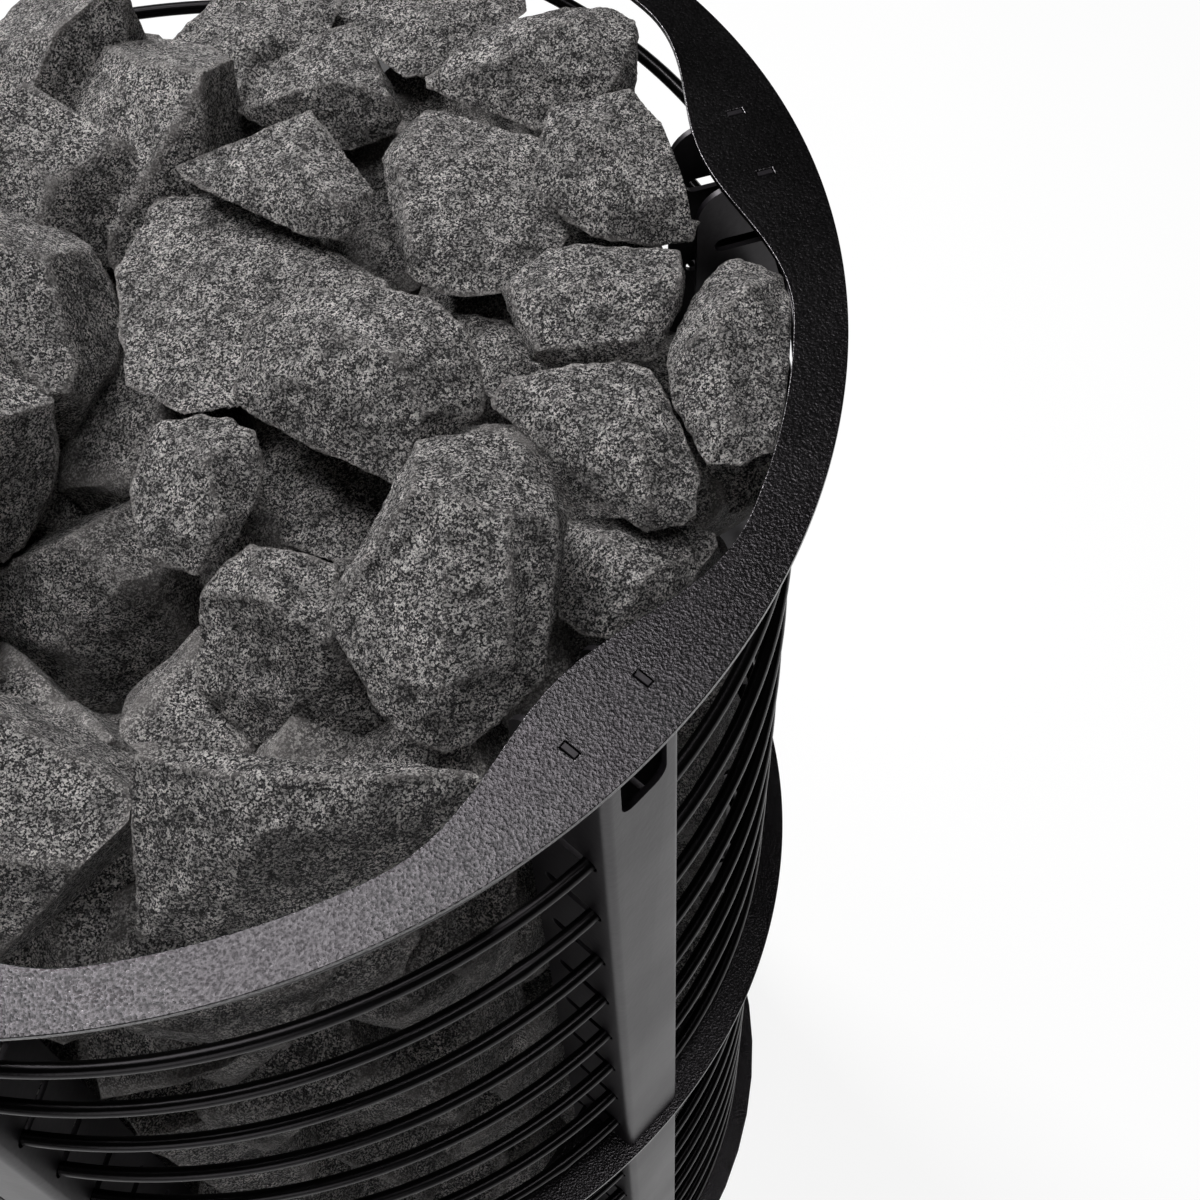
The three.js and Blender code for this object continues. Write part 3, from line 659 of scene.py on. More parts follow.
def broken_diabase(colours, grain):
    """Broken diabase: a dull dark-grey stone speckled with pale and black crystals, rough at every scale."""
    material, tree = new_material("broken_diabase")
    place = node_in(tree, "TexCoord").outputs["Object"]
    crystals = node_in(tree, "TexVoronoi", Vector=place, Scale=1 / (1.2 * grain), Randomness=1.0)
    flecks = node_in(
        tree, "TexNoise", Vector=place, Scale=1 / grain, Detail=3.0, Roughness=0.75
    ).outputs["Fac"]
    clouds = node_in(
        tree, "TexNoise", Vector=place, Scale=1 / (24 * MM), Detail=4.0, Roughness=0.6
    ).outputs["Fac"]
    crumbs = node_in(
        tree, "TexNoise", Vector=place, Scale=1 / (6 * MM), Detail=7.0, Roughness=0.72
    ).outputs["Fac"]
    value = node_in(tree, "SeparateColor", Color=crystals.outputs["Color"]).outputs["Red"]
    mixed = node_in(tree, "Mix", {"data_type": "FLOAT"}, _0=0.72, _2=value, _3=flecks).outputs["Result"]
    dark, mid, light = (tuple(c) for c in (colours.stone_dark, colours.stone_mid, colours.stone_light))
    stops = [(0.42, dark), (0.47, mid), (0.51, mid), (0.585, light)]
    tone = node_in(tree, "ValToRGB", stops=stops, Fac=mixed).outputs["Color"]
    # Painted shade darkens the hollows between the crumbs of the bump relief, and wide clouds of the stone
    # are darker in tone.
    painted_hollow_shade = node_in(tree, "ValToRGB", stops=greys((0.36, 0.3), (0.6, 1.0)), Fac=crumbs).outputs["Color"]
    shade = node_in(tree, "ValToRGB", stops=greys((0.3, 0.75), (0.65, 1.0)), Fac=clouds).outputs["Color"]
    for darker in (painted_hollow_shade, shade):
        settings = {"data_type": "RGBA", "blend_type": "MULTIPLY"}
        tone = node_in(tree, "Mix", settings, _0=1.0, _6=tone, _7=darker).outputs[2]
    # Edges that stand out are paler: partly bruised stone, partly a painted highlight on the crests.
    edge_bruise_and_highlight = node_in(tree, "Attribute", {"attribute_name": "edge"}).outputs["Fac"]
    bruise_and_highlight_mix = node_in(tree, "ValToRGB", stops=greys((0.02, 0.0), (0.14, 0.5)), Fac=edge_bruise_and_highlight).outputs["Color"]
    tone = node_in(tree, "Mix", {"data_type": "RGBA"}, _0=bruise_and_highlight_mix, _6=tone, _7=linear("#a5a09e")).outputs[2]
    coarse = node_in(tree, "Bump", Height=crumbs, Strength=1.0, Distance=6.0 * MM).outputs["Normal"]
    fine = node_in(tree, "Bump", Height=flecks, Strength=1.0, Distance=0.8 * MM, Normal=coarse)
    dull = node_in(tree, "ValToRGB", stops=greys((0.35, 0.92), (0.8, 0.62)), Fac=flecks).outputs["Color"]
    surface = node_in(
        tree, "BsdfPrincipled", Base_Color=tone, Roughness=dull, Normal=fine.outputs["Normal"], IOR=1.5
    )
    node_in(tree, "OutputMaterial", Surface=surface.outputs["BSDF"])
    return material


def plain_metal(name, light, dark, roughness, mottle_mm):
    """Bare or plated steel: bright, with small mottles that vary its tone and its shine."""
    material, tree = new_material(name)
    place = node_in(tree, "TexCoord").outputs["Object"]
    mottles = node_in(
        tree, "TexNoise", Vector=place, Scale=1 / (mottle_mm * MM), Detail=4.0
    ).outputs["Fac"]
    tone = node_in(tree, "ValToRGB", stops=[(0.3, linear(dark)), (0.7, linear(light))], Fac=mottles)
    stops = greys((0.3, roughness + 0.1), (0.7, roughness - 0.05))
    shine = node_in(tree, "ValToRGB", stops=stops, Fac=mottles)
    surface = node_in(
        tree, "BsdfPrincipled", Base_Color=tone.outputs["Color"], Roughness=shine.outputs["Color"],
        Metallic=1.0,
    )
    node_in(tree, "OutputMaterial", Surface=surface.outputs["BSDF"])
    return material


def moulded(name, light, dark, roughness, grain_mm):
    """A moulded or pressed material: an even colour with a fine matt grain."""
    material, tree = new_material(name)
    place = node_in(tree, "TexCoord").outputs["Object"]
    grain = node_in(tree, "TexNoise", Vector=place, Scale=1 / (grain_mm * MM), Detail=3.0).outputs["Fac"]
    tone = node_in(tree, "ValToRGB", stops=[(0.3, linear(dark)), (0.7, linear(light))], Fac=grain)
    relief = node_in(tree, "Bump", Height=grain, Strength=0.3, Distance=0.1 * grain_mm * MM)
    surface = node_in(
        tree, "BsdfPrincipled", Base_Color=tone.outputs["Color"], Roughness=roughness,
        Normal=relief.outputs["Normal"],
    )
    node_in(tree, "OutputMaterial", Surface=surface.outputs["BSDF"])
    return material


def steel_coat(scene, name):
    """One of the steel's coats, made on first use."""
    base, *look = COATS[name]
    return bpy.data.materials.get(name) or coated_steel(name, getattr(scene.stove_colours, base), *look)


def stone_finish(scene):
    """The stones' finish, made on first use."""
    made = bpy.data.materials.get("broken_diabase")
    return made or broken_diabase(scene.stove_colours, scene.stove_stones.grain)


def round_edges(piece, steel):
    """Rounds the cut edges of a sheet."""
    limit = math.radians(SHARP_EDGE)
    return finish_with(
        piece, "BEVEL", width=steel.edge, segments=2, limit_method="ANGLE", angle_limit=limit
    )


def ring_inside(steel, angle):
    """The radius of a ring's inner edge at an angle: it widens inwards, in a smooth wave, at each post."""
    pitch = math.tau / POSTS
    along = abs(angle - pitch * round(angle / pitch)) / steel.widening_angle
    wave = math.cos(along * math.pi / 2) ** 2 if along < 1 else 0.0
    return RING_RADIUS - steel.ring_width - steel.ring_widening * wave


def flat_ring(steel, top, insets):
    """A flat ring with the slots for the posts' tabs at these distances in from its edge."""
    begin()
    bpy.ops.mesh.primitive_circle_add(
        vertices=360, radius=RING_RADIUS, fill_type="NOTHING", location=(0, 0, top)
    )
    ring = bpy.context.active_object
    bpy.ops.object.transform_apply(location=True)
    edit(ring, "EDGE")
    bpy.ops.mesh.select_all(action="SELECT")
    bpy.ops.mesh.extrude_edges_move()
    for point in (v for v in bmesh.from_edit_mesh(ring.data).verts if v.select):
        angle = math.atan2(point.co.y, point.co.x)
        point.co = polar(ring_inside(steel, angle), angle, top)
    bmesh.update_edit_mesh(ring.data)
    close_edit(ring)
    if ring.data.polygons[0].normal.z < 0:
        edit(ring, "FACE")
        bpy.ops.mesh.select_all(action="SELECT")
        bpy.ops.mesh.flip_normals()
        bpy.ops.object.mode_set(mode="OBJECT")
    finish_with(ring, "SOLIDIFY", thickness=steel.ring_sheet, offset=-1)
    cut(ring, tab_slots(steel, insets, top))
    return smooth(round_edges(ring, steel), RING_SMOOTH)


def tab_slots(steel, insets, top):
    """Cutters for the slots of all the posts' tabs."""
    across = (steel.post_width - steel.post_sheet) / 2
    size = (steel.tab_length + 2 * steel.fit, steel.post_sheet + 2 * steel.fit, 20 * MM)
    cutters = []
    for i in range(POSTS):
        turn = Matrix.Rotation(i * math.tau / POSTS, 4, "Z")
        for inset in insets:
            for side in (-across, across):
                centre = turn @ Vector((RING_RADIUS - inset, side, top))
                cutters.append(block(centre, size, i * math.tau / POSTS))
    return cutters


class STOVE_OT_stage(bpy.types.Operator):
    """Lay the floor, hang the lights and set the camera at the photograph's place"""

    bl_idname = "stove.stage"
    bl_label = "Stage"

    def execute(self, context):
        scene = context.scene
        scene.view_settings.view_transform = "Standard"
        self.floor(scene)
        self.world(scene)
        for name, settings in SOFTBOXES.items():
            self.softbox(name, *settings)
        self.camera(scene)
        return {"FINISHED"}

    def floor(self, scene):
        """A pale floor that stays near white where it is lit and keeps the stove's shadow."""
        begin()
        bpy.ops.mesh.primitive_circle_add(
            vertices=96, radius=FLOOR_RADIUS, fill_type="NGON", location=(0, 0, 0)
        )
        floor = bpy.context.active_object
        floor.name = "studio_floor"
        edit(floor, "FACE")
        bpy.ops.mesh.select_all(action="SELECT")
        bpy.ops.mesh.inset(thickness=FLOOR_BORDER)
        bpy.ops.object.mode_set(mode="OBJECT")
        floor.data.materials.append(self.paper(scene))

    def paper(self, scene):
        """Matt paper, even and without a sheen, which glows where it is seen and not where it lights."""
        material, tree = new_material("matt_studio_floor")
        rays = node_in(tree, "LightPath").outputs
        shown = rays["Is Camera Ray"]
        for ray in ("Is Glossy Ray", "Is Transmission Ray"):
            shown = node_in(tree, "Math", {"operation": "MAXIMUM"}, _0=shown, _1=rays[ray]).outputs[0]
        strength = node_in(tree, "Math", {"operation": "MULTIPLY"}, _0=shown, _1=FLOOR_GLOW)
        matt = node_in(tree, "BsdfDiffuse", Color=tuple(scene.stove_colours.floor))
        glow = node_in(tree, "Emission", Color=grey(1.0), Strength=strength.outputs[0])
        both = node_in(tree, "AddShader", _0=matt.outputs[0], _1=glow.outputs[0])
        node_in(tree, "OutputMaterial", Surface=both.outputs[0])
        return material

    def world(self, scene):
        """A dim studio that the camera sees as white."""
        scene.world = bpy.data.worlds.new("studio")
        scene.world.use_nodes = True
        tree = scene.world.node_tree
        tree.nodes.clear()
        seen = node_in(tree, "LightPath").outputs["Is Camera Ray"]
        dim = node_in(tree, "Background", Color=grey(1.0), Strength=ROOM_LIGHT).outputs[0]
        white = node_in(tree, "Background", Color=grey(1.0), Strength=1.0).outputs[0]
        mix = node_in(tree, "MixShader", _0=seen, _1=dim, _2=white)
        node_in(tree, "OutputWorld", Surface=mix.outputs[0])

    def softbox(self, name, place, target, side, watts):
        """A square softbox aimed at a point."""
        begin()
        bpy.ops.object.light_add(type="AREA", location=place)
        lamp = bpy.context.active_object
        lamp.name = name
        lamp.data.shape = "SQUARE"
        lamp.data.size = side
        lamp.data.energy = watts
        aim = Vector(target) - Vector(place)
        lamp.rotation_euler = aim.to_track_quat("-Z", "Y").to_euler()

    def camera(self, scene):
        """A camera that sees what the photograph shows."""
        begin()
        bpy.ops.object.camera_add()
        camera = bpy.context.active_object
        camera.data.sensor_width = SENSOR_WIDTH
        camera.data.lens = CAMERA_LENS
        axes = Matrix((CAMERA_RIGHT, CAMERA_UP, -CAMERA_FORWARD)).transposed()
        camera.matrix_world = Matrix.Translation(CAMERA_PLACE) @ axes.to_4x4()
        scene.camera = camera


class STOVE_OT_rings(bpy.types.Operator):
    """Cut the top rim and the middle ring from sheet"""

    bl_idname = "stove.rings"
    bl_label = "Rim and Middle Ring"

    def execute(self, context):
        steel = context.scene.stove_steel
        coat = steel_coat(context.scene, "textured_powder_coat")
        rim = flat_ring(steel, RIM_TOP, [steel.upper_tab_inset])
        dress(rim, "coated_top_rim", "stove", coat, ["top_rim"])
        middle = flat_ring(steel, MIDDLE_TOP, [steel.upper_tab_inset, steel.lower_tab_inset])
        dress(middle, "coated_middle_ring", "stove", coat, ["middle_ring"])
        return {"FINISHED"}


class STOVE_OT_base(bpy.types.Operator):
    """Finish the base plate"""

    bl_idname = "stove.base"
    bl_label = "Base Plate"

    def execute(self, context):
        dress_solid("base_plate", steel_coat(context.scene, "textured_powder_coat"))
        return {"FINISHED"}


class STOVE_OT_posts(bpy.types.Operator):
    """Fold one upper and one lower post from sheet and set six of each round the basket"""

    bl_idname = "stove.posts"
    bl_label = "Posts"

    def execute(self, context):
        steel = context.scene.stove_steel
        coat = steel_coat(context.scene, "satin_powder_coat")
        tiers = (
            ("upper", RIM_TOP, MIDDLE_TOP, steel.ring_sheet),
            ("lower", MIDDLE_TOP, BASE_TOP, steel.base_sheet),
        )
        for tier, top, bottom, foot_sheet in tiers:
            pattern = self.fold(steel, tier, top, bottom, foot_sheet)
            for i in range(POSTS):
                turn = Matrix.Rotation(i * math.tau / POSTS, 4, "Z")
                post = copy_of(pattern, "post", turn)
                node = f"post_{tier}_{i + 1}"
                dress(post, f"folded_{node}", "stove", coat, [node])
            remove([pattern])
        return {"FINISHED"}

    def fold(self, steel, tier, top, bottom, foot_sheet):
        """One post at +X: a U of sheet with its face outwards, slots for the hoops and tabs at both ends."""
        head = top - steel.ring_sheet - steel.fit
        foot = bottom + steel.fit
        middle = Vector(((POST_FACE + FLANGE_EDGE) / 2, 0, (head + foot) / 2))
        post = block(middle, (POST_FACE - FLANGE_EDGE, steel.post_width, head - foot))
        mesh = edit(post, "FACE")
        choose(post, mesh.faces, lambda f: f.normal.x < -0.9 or abs(f.normal.z) > 0.9)
        bpy.ops.mesh.delete(type="FACE")
        bpy.ops.mesh.select_mode(type="EDGE")
        mesh = bmesh.from_edit_mesh(post.data)
        choose(post, mesh.edges, lambda e: self.upright(e) and e.verts[0].co.x > middle.x)
        bpy.ops.mesh.bevel(offset=steel.post_fold, segments=6, affect="EDGES")
        bpy.ops.object.mode_set(mode="OBJECT")
        finish_with(post, "SOLIDIFY", thickness=steel.post_sheet, offset=-1, use_even_offset=True)
        mesh = edit(post, "EDGE")
        choose(post, mesh.edges, lambda e: self.at_corner(e, head))
        bpy.ops.mesh.bevel(offset=steel.post_corner, segments=8, affect="EDGES")
        close_edit(post)
        cutters = self.hoop_slots(steel, top)
        if tier == "upper":
            cutters.append(self.notch(steel, head))
        cut(post, cutters)
        round_edges(post, steel)
        across = steel.post_width / 2 - steel.post_sheet / 2
        ends = (
            (steel.upper_tab_inset, head - TAB_ROOT, top),
            (steel.lower_tab_inset, bottom - foot_sheet, foot + TAB_ROOT),
        )
        tabs = []
        for inset, low, high in ends:
            for side in (-across, across):
                size = (steel.tab_length, steel.post_sheet, high - low)
                tab = block((RING_RADIUS - inset, side, (low + high) / 2), size)
                tabs.append(finish_with(tab, "BEVEL", width=0.2 * MM, segments=1))
        return smooth(join([post, *tabs]), POST_SMOOTH)

    def upright(self, edge):
        """Whether an edge runs from the foot to the head."""
        low, high = (v.co for v in edge.verts)
        return abs(low.z - high.z) > 10 * MM

    def at_corner(self, edge, head):
        """Whether an edge crosses a flange at its upper inner corner."""
        ends = [v.co for v in edge.verts]
        return all(abs(p.x - FLANGE_EDGE) < MM and abs(p.z - head) < MM for p in ends)

    def hoop_slots(self, steel, top):
        """Cutters for the round-ended slots that the hoops lie in."""
        gap = steel.rod / 2 + steel.fit
        end = POST_FACE - steel.hoop_setback - steel.rod / 2 + gap
        start = FLANGE_EDGE + SLOT_WALL
        cutters = []
        for level in hoop_levels(steel, top):
            cutter = block(((start + end) / 2, 0, level), (end - start, 2 * steel.post_width, 2 * gap))
            mesh = edit(cutter, "EDGE")
            choose(
                cutter, mesh.edges, lambda e: abs(e.verts[0].co.y - e.verts[1].co.y) > steel.post_width
            )
            bpy.ops.mesh.bevel(offset=0.96 * gap, segments=4, affect="EDGES")
            bpy.ops.object.mode_set(mode="OBJECT")
            cutters.append(cutter)
        return cutters

    def notch(self, steel, head):
        """A cutter for the round-cornered notch in the face."""
        height = 2 * steel.notch_depth
        cutter = block((POST_FACE, 0, head), (4 * steel.post_sheet, steel.notch_width, height))
        mesh = edit(cutter, "EDGE")
        choose(cutter, mesh.edges, lambda e: abs(e.verts[0].co.x - e.verts[1].co.x) > steel.post_sheet)
        bpy.ops.mesh.bevel(offset=steel.notch_corner, segments=5, affect="EDGES")
        bpy.ops.object.mode_set(mode="OBJECT")
        return cutter


def hoop_levels(steel, top):
    """The levels of a tier's hoops, from the highest down."""
    height = RIM_TOP - MIDDLE_TOP
    pitch = (height - steel.top_drop - steel.foot_rise) / (HOOPS - 1)
    return [top - steel.top_drop - i * pitch for i in range(HOOPS)]


class STOVE_OT_hoops(bpy.types.Operator):
    """Bend one hoop from round rod, weld its ends and stack nine in each tier"""

    bl_idname = "stove.hoops"
    bl_label = "Hoops"

    def execute(self, context):
        steel = context.scene.stove_steel
        coat = steel_coat(context.scene, "semi_gloss_coat")
        radius = POST_FACE - steel.hoop_setback - steel.rod / 2
        begin()
        bpy.ops.mesh.primitive_torus_add(
            major_radius=radius, minor_radius=steel.rod / 2, major_segments=216, minor_segments=12
        )
        pattern = bpy.context.active_object
        self.weld(pattern, radius)
        smooth(pattern, ROD_SMOOTH)
        for tier, top in (("upper", RIM_TOP), ("lower", MIDDLE_TOP)):
            for i, level in enumerate(hoop_levels(steel, top)):
                turn = Matrix.Rotation(i * math.tau / POSTS, 4, "Z")
                hoop = copy_of(pattern, "hoop", Matrix.Translation((0, 0, level)) @ turn)
                node = f"hoop_{tier}_{i + 1}"
                dress(hoop, f"rod_{node}", "stove", coat, [node])
        remove([pattern])
        return {"FINISHED"}

    def weld(self, hoop, radius):
        """Swells the rod a little where its ends were joined, close beside a post."""
        place = math.radians(WELD_ANGLE)
        mesh = edit(hoop, "VERT")
        for point in mesh.verts:
            angle = math.atan2(point.co.y, point.co.x)
            if abs(angle - place) < WELD_HALF / radius:
                core = polar(radius, angle)
                point.co = core + WELD_SWELL * (point.co - core)
        bmesh.update_edit_mesh(hoop.data)
        bpy.ops.object.mode_set(mode="OBJECT")


class STOVE_OT_elements(bpy.types.Operator):
    """Finish the heating elements"""

    bl_idname = "stove.elements"
    bl_label = "Heating Elements"

    def execute(self, context):
        # Drawn stainless tube: warm grey and half bright, with small tarnished spots.
        steel = plain_metal("drawn_stainless_tube", "#a3a19c", "#7d7b77", 0.34, 3.0)
        for i in range(ELEMENTS):
            dress_solid(f"heating_element_{i + 1}", steel)
        return {"FINISHED"}


class STOVE_OT_wiring(bpy.types.Operator):
    """Finish the wiring space under the base plate"""

    bl_idname = "stove.wiring"
    bl_label = "Wiring Space"

    def execute(self, context):
        # Zinc-coated sheet: pale cool grey, dull and bright by turns where the zinc set in wide crystals.
        zinc = plain_metal("zinc_coated_sheet", "#b3b6b8", "#8d9092", 0.42, 9.0)
        dress_solid("junction_housing", zinc)
        dress_solid("junction_cover", zinc)
        # Pressed steatite: a cream ceramic, a little uneven in tone, with the grain of the pressed powder.
        dress_solid("terminal_block", moulded("pressed_steatite", "#e8e1d3", "#d8d0c0", 0.5, 1.2))
        # Moulded polyamide: a matt black plastic with the fine grain of its mould.
        dress_solid("cable_gland", moulded("moulded_polyamide", "#242424", "#191919", 0.55, 0.8))
        return {"FINISHED"}


class STOVE_OT_feet(bpy.types.Operator):
    """Turn one levelling foot and set four under the base plate"""

    bl_idname = "stove.feet"
    bl_label = "Levelling Feet"

    def execute(self, context):
        # Zinc-plated steel: pale and brighter than the sheet, with faint spots in the thin plating.
        zinc = plain_metal("zinc_plated_steel", "#b9bbb9", "#979a9a", 0.3, 4.0)
        pattern = self.turn(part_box("levelling_foot_1")[1].z)
        for i in range(FEET):
            node = f"levelling_foot_{i + 1}"
            low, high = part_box(node)
            foot = copy_of(pattern, "foot", Matrix.Translation((*((low + high).xy / 2), 0)))
            dress(foot, f"turned_{node}", f"foot_{i + 1}", zinc, [node])
        remove([pattern])
        return {"FINISHED"}

    def turn(self, head):
        """A pad with rounded edges, a threaded stem and a lock nut."""
        profile = list(PAD_PROFILE)
        level = THREAD_START
        while level < head / MM - THREAD_END:
            profile += [(THREAD_CREST, level), (THREAD_ROOT, level + THREAD_PITCH / 2)]
            level += THREAD_PITCH
        profile += [(radius, head / MM + under) for radius, under in TIP_PROFILE]
        stem = turned([(r * MM, z * MM) for r, z in profile], 32)
        smooth(stem, FOOT_SMOOTH)
        nut = turned([(r * MM, z * MM) for r, z in NUT_PROFILE], 6)
        finish_with(nut, "BEVEL", width=0.4 * MM, segments=2)
        return join([stem, nut])


def photo_ray(across, down):
    """The direction from the camera through a pixel of the photograph."""
    focal = CAMERA_LENS / SENSOR_WIDTH * PHOTO_SIDE
    half = PHOTO_SIDE / 2
    ray = CAMERA_FORWARD * focal + CAMERA_RIGHT * (across - half) + CAMERA_UP * (half - down)
    return ray.normalized()


def at_level(across, down, level):
    """The point at a level that the photograph shows at a pixel."""
    ray = photo_ray(across, down)
    return CAMERA_PLACE + ray * ((level - CAMERA_PLACE.z) / ray.z)


def texture(name, kind, size, **settings):
    """A procedural relief for the Displace modifier."""
    made = bpy.data.textures.get(name) or bpy.data.textures.new(name, kind)
    made.noise_scale = size
    for key, value in settings.items():
        setattr(made, key, value)
    return made


def displace(stone, relief, strength, level):
    """Moves a stone's points in and out by a relief, about its middle level."""
    return finish_with(
        stone, "DISPLACE", texture=relief, strength=strength, mid_level=level, texture_coords="LOCAL"
    )


def weather(stone, sizes):
    """Gives a faceted stone an even mesh and breaks its faces and edges up."""
    voxel, coarse, fine = (size * MM for size in sizes)
    take(stone)
    stone.data.remesh_voxel_size = voxel
    bpy.ops.object.voxel_remesh()
    swells = texture("swells", "CLOUDS", 26 * MM, noise_depth=2)
    chips = texture("chips", "VORONOI", 15 * MM, distance_metric="DISTANCE")
    crumbs = texture("crumbs", "CLOUDS", 6 * MM, noise_depth=3)
    displace(stone, swells, coarse, 0.5)
    displace(stone, chips, 0.5 * coarse, 0.4)
    mark_edges(stone, voxel)
    displace(stone, crumbs, fine, 0.5)
    return smooth(stone, STONE_SMOOTH)


def mark_edges(stone, voxel):
    """Stores how far each point of a stone stands out of its neighbours, for the paler edges, partly bruised
    stone and partly a painted highlight.
    """
    mesh = stone.data
    places, normals = (numpy.empty((len(mesh.vertices), 3), numpy.float32) for _ in range(2))
    mesh.vertices.foreach_get("co", places.ravel())
    mesh.vertex_normals.foreach_get("vector", normals.ravel())
    ends = numpy.empty((len(mesh.edges), 2), numpy.int32)
    mesh.edges.foreach_get("vertices", ends.ravel())
    share = numpy.maximum(numpy.bincount(ends.ravel(), minlength=len(places)), 1)

    def around(values):
        """The mean of a value over each point's neighbours."""
        total = numpy.zeros_like(values)
        numpy.add.at(total, ends[:, 0], values[ends[:, 1]])
        numpy.add.at(total, ends[:, 1], values[ends[:, 0]])
        return total / share.reshape(-1, *[1] * (values.ndim - 1))

    standing = ((places - around(places)) * normals).sum(1) / voxel
    for _ in range(2):
        standing = (standing + around(standing)) / 2
    layer = mesh.attributes.new("edge", "FLOAT", "POINT")
    layer.data.foreach_set("value", numpy.clip(standing, 0, 1).astype(numpy.float32))


def hull(points):
    """A faceted stone that wraps a set of points."""
    begin()
    bpy.ops.mesh.primitive_circle_add(vertices=len(points), radius=1.0)
    stone = bpy.context.active_object
    mesh = edit(stone, "VERT")
    for point, place in zip(mesh.verts, points):
        point.co = place
    bmesh.update_edit_mesh(stone.data)
    bpy.ops.mesh.select_all(action="SELECT")
    bpy.ops.mesh.convex_hull()
    return close_edit(stone)


def keep_in_basket(stone, steel, clearance):
    """Moves a stone in until it is clear of the hoops and the posts, and down until it is under the top."""
    over = max(v.co.xy.length - room_at(steel, clearance, v.co) for v in stone.data.vertices)
    middle = middle_of(stone)
    shift = Vector()
    if over > 0:
        shift = Vector((*(-over * middle.xy.normalized()), 0))
    high = max(v.co.z for v in stone.data.vertices) - STONE_TOP
    if high > 0:
        shift.z = -high
    stone.data.transform(Matrix.Translation(shift))
    return stone


def trim_to_basket(stone, steel, clearance):
    """Presses what reaches past the hoops, the posts or the top back to them."""
    for point in stone.data.vertices:
        room = room_at(steel, clearance, point.co)
        if point.co.xy.length > room:
            point.co.xy = point.co.xy.normalized() * room
        point.co.z = min(point.co.z, STONE_TOP)
    return stone


def room_at(steel, clearance, place):
    """How far from the axis a stone may reach at a place: to the hoops, or less beside a post."""
    pitch = math.tau / POSTS
    angle = math.atan2(place.y, place.x)
    aside = abs(math.sin(angle - pitch * round(angle / pitch))) * place.xy.length
    if aside < steel.post_width / 2 + POST_GAP:
        return FLANGE_EDGE - POST_GAP
    return POST_FACE - steel.hoop_setback - steel.rod - clearance


def middle_of(stone):
    """The middle of a stone's points."""
    points = stone.data.vertices
    return sum((v.co for v in points), Vector()) / len(points)


class STOVE_OT_top_stones(bpy.types.Operator):
    """Break the stones that show on top to the outlines in the photograph"""

    bl_idname = "stove.top_stones"
    bl_label = "Top Stones"

    def execute(self, context):
        scene = context.scene
        for name, form in TOP_STONES.items():
            stone = weather(hull(self.points(form)), TOP_BREAK)
            trim_to_basket(stone, scene.stove_steel, scene.stove_stones.clearance)
            nodes = [form["node"]] if form["node"] else []
            dress(stone, f"stone_{name}", "stove", stone_finish(scene), nodes)
        return {"FINISHED"}

    def points(self, form):
        """A stone's corners: its outline on a tilted plane, its crests before that and its back behind it."""
        rows = [down for _, down in form["outline"]]
        far, near = min(rows), max(rows)

        def level(down):
            """The level of the tilted plane at a row of pixels."""
            tilt = form["drop"] * (0.5 - (down - far) / (near - far))
            return RIM_TOP + (form["height"] + tilt) * MM

        outline = [at_level(across, down, level(down)) for across, down in form["outline"]]
        crests = [
            at_level(across, down, level(down)) - photo_ray(across, down) * out * MM
            for across, down, out in form["crests"]
        ]
        middle = sum(outline, Vector()) / len(outline)
        outline = [middle + HULL_SHARE * (p - middle) for p in outline]
        away = (middle - CAMERA_PLACE).normalized()
        back = [middle + BACK_SHARE * (p - middle) + away * form["depth"] * MM for p in outline]
        return outline + crests + back


def rough_stones(count, width, sizes):
    """A few different broken stones at the origin: blocks with their corners struck off by chance."""
    made = []
    for seed in range(count):
        chance = random.Random(seed + 7)
        shape = [width * chance.uniform(*side) for side in STONE_SIDES]
        stone = block((0, 0, 0), shape)
        edit(stone, "FACE")
        for _ in range(STRIKES):
            normal = Vector([chance.uniform(-1, 1) for _ in range(3)]).normalized()
            reach = sum(abs(n) * s / 2 for n, s in zip(normal, shape))
            place = normal * reach * chance.uniform(*STRIKE_DEPTH)
            bpy.ops.mesh.select_all(action="SELECT")
            bpy.ops.mesh.bisect(plane_co=place, plane_no=normal, use_fill=True, clear_outer=True)
        close_edit(stone)
        made.append(weather(stone, sizes))
    return made


def scatter(patterns, places, scene, seed):
    """Copies of the patterns at these places, each turned by chance and kept inside the basket."""
    chance = random.Random(seed)
    copies = []
    for place, scale in places:
        angle = chance.uniform(0, math.tau)
        axis = Vector([chance.uniform(-1, 1) for _ in range(3)])
        matrix = Matrix.Translation(place) @ Matrix.Rotation(angle, 4, axis) @ Matrix.Scale(scale, 4)
        stone = copy_of(chance.choice(patterns), "loose", matrix)
        copies.append(keep_in_basket(stone, scene.stove_steel, scene.stove_stones.clearance))
    return join(copies)


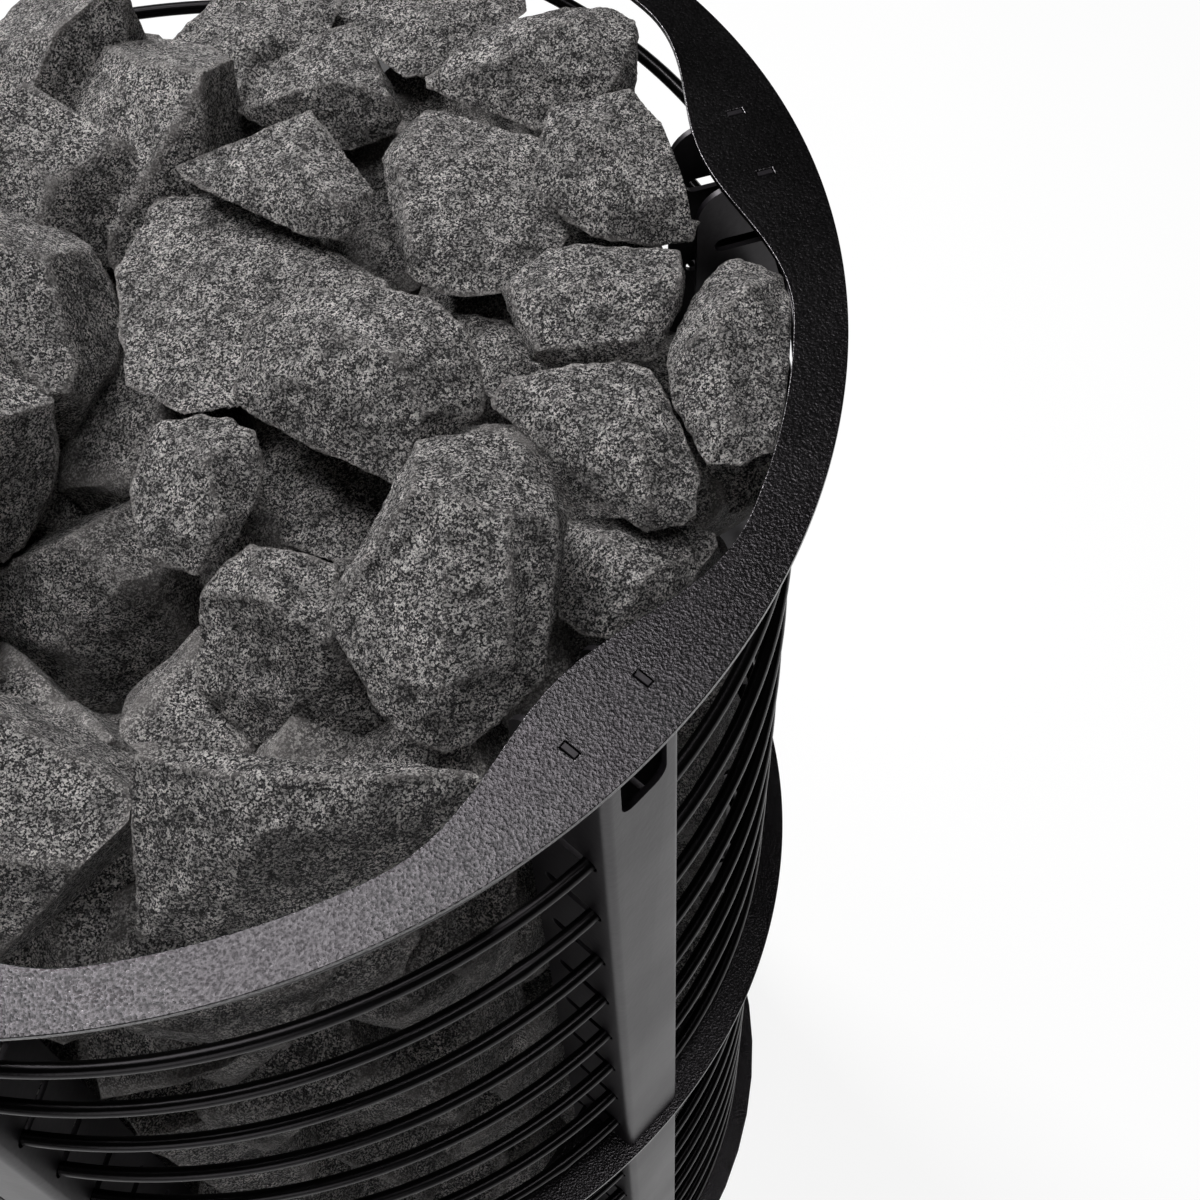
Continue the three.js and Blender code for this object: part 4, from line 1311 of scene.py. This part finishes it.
class STOVE_OT_loose_stones(bpy.types.Operator):
    """Scatter stones over the rest of the top and under the stones that show"""

    bl_idname = "stove.loose_stones"
    bl_label = "Loose Stones"

    def execute(self, context):
        scene = context.scene
        heaps = (
            ("loose_top_stones", 6, LOOSE_BREAK, self.free_places(), 3),
            ("under_top_stones", 4, UNDER_BREAK, self.under_places(), 5),
        )
        for name, count, sizes, places, seed in heaps:
            patterns = rough_stones(count, scene.stove_stones.size, sizes)
            heap = scatter(patterns, places, scene, seed)
            dress(heap, name, "stove", stone_finish(scene))
            remove(patterns)
        return {"FINISHED"}

    def free_places(self):
        """A sunflower pattern over the basket, where none of the shown stones lies."""
        taken = [middle_of(bpy.data.objects[f"stone_{name}"]) for name in TOP_STONES]
        golden = math.pi * (3 - math.sqrt(5))
        places = []
        for i in range(LOOSE_PLACES):
            radius = LOOSE_RADIUS * MM * math.sqrt((i + 0.5) / LOOSE_PLACES)
            place = polar(radius, i * golden, RIM_TOP - LOOSE_DROP * MM)
            if all((place - t).xy.length > LOOSE_DISTANCE * MM for t in taken):
                places.append((place, LOOSE_SCALE))
        return places

    def under_places(self):
        """Two close layers under the shown stones, which close the gaps between them."""
        places = []
        for layer, drop in enumerate(UNDER_DROPS):
            for radius, count in UNDER_ROUNDS:
                for i in range(count):
                    angle = (i + 0.5 * layer) * math.tau / count
                    places.append((polar(radius * MM, angle, RIM_TOP - drop * MM), UNDER_SCALE))
        return places


class STOVE_OT_bed_stones(bpy.types.Operator):
    """Stack the stones that show between the hoops in both tiers"""

    bl_idname = "stove.bed_stones"
    bl_label = "Bed Stones"

    def execute(self, context):
        scene = context.scene
        stones = scene.stove_stones
        patterns = rough_stones(6, stones.size, BED_BREAK)
        inner = rough_stones(3, stones.size, CORE_BREAK)
        tiers = (
            ("upper", MIDDLE_TOP, RIM_TOP - UPPER_ROOM * MM),
            ("lower", BASE_TOP, MIDDLE_TOP - LOWER_ROOM * MM),
        )
        for seed, (tier, low, high) in enumerate(tiers):
            places = self.places(stones, low, high, BED_RADIUS, 0.0, seed)
            shown = scatter(patterns, places, scene, seed + 11)
            solids = [f"stone_bed_{tier}"]
            dress(shown, f"bed_stones_{tier}", "stove", stone_finish(scene), solids)
            places = self.places(stones, low, high, CORE_RADIUS, 0.5, seed)
            behind = scatter(inner, places, scene, seed + 21)
            dress(behind, f"bed_core_{tier}", "stove", stone_finish(scene))
        remove(patterns + inner)
        return {"FINISHED"}

    def places(self, stones, low, high, radius, offset, seed):
        """Rows of places round the basket, each row half a stone on from the one below."""
        chance = random.Random(seed + 31)
        pitch = (high - low) / stones.rows
        places = []
        for row in range(stones.rows):
            level = low + (row + 0.5) * pitch
            for i in range(stones.round_count):
                along = i + offset + 0.5 * row + chance.uniform(-STRAY_ALONG, STRAY_ALONG)
                angle = along * math.tau / stones.round_count
                place = polar(radius * MM, angle, level + chance.uniform(-STRAY_UP, STRAY_UP) * MM)
                places.append((place, chance.uniform(*BED_SCALE)))
        return places


class STOVE_PT_panel(bpy.types.Panel):
    """Lists the stove's pieces"""

    bl_idname = "STOVE_PT_panel"
    bl_label = "Sauna Stove"
    bl_space_type = "VIEW_3D"
    bl_region_type = "UI"
    bl_category = "Stove"

    def draw(self, context):
        for maker in MAKERS:
            self.layout.operator(maker.bl_idname)
        for group in (context.scene.stove_steel, context.scene.stove_stones, context.scene.stove_colours):
            box = self.layout.box()
            for name in group.__annotations__:
                box.prop(group, name)


MAKERS = (
    STOVE_OT_stage, STOVE_OT_rings, STOVE_OT_base, STOVE_OT_posts, STOVE_OT_hoops, STOVE_OT_elements,
    STOVE_OT_wiring, STOVE_OT_feet, STOVE_OT_top_stones, STOVE_OT_loose_stones, STOVE_OT_bed_stones,
)
CLASSES = (StoveSteel, StoveStones, StoveColours, *MAKERS, STOVE_PT_panel)


def register():
    """Registers the classes and hangs their sizes and colours on the scene."""
    for each in CLASSES:
        bpy.utils.register_class(each)
    bpy.types.Scene.stove_steel = PointerProperty(type=StoveSteel)
    bpy.types.Scene.stove_stones = PointerProperty(type=StoveStones)
    bpy.types.Scene.stove_colours = PointerProperty(type=StoveColours)


def unregister():
    """Takes it all back, in the other order."""
    del bpy.types.Scene.stove_colours
    del bpy.types.Scene.stove_stones
    del bpy.types.Scene.stove_steel
    for each in reversed(CLASSES):
        bpy.utils.unregister_class(each)


def main():
    """Makes every piece."""
    register()
    bpy.ops.stove.stage()
    bpy.ops.stove.rings()
    bpy.ops.stove.base()
    bpy.ops.stove.posts()
    bpy.ops.stove.hoops()
    bpy.ops.stove.elements()
    bpy.ops.stove.wiring()
    bpy.ops.stove.feet()
    bpy.ops.stove.top_stones()
    bpy.ops.stove.loose_stones()
    bpy.ops.stove.bed_stones()


if __name__ == "__main__":
    main()
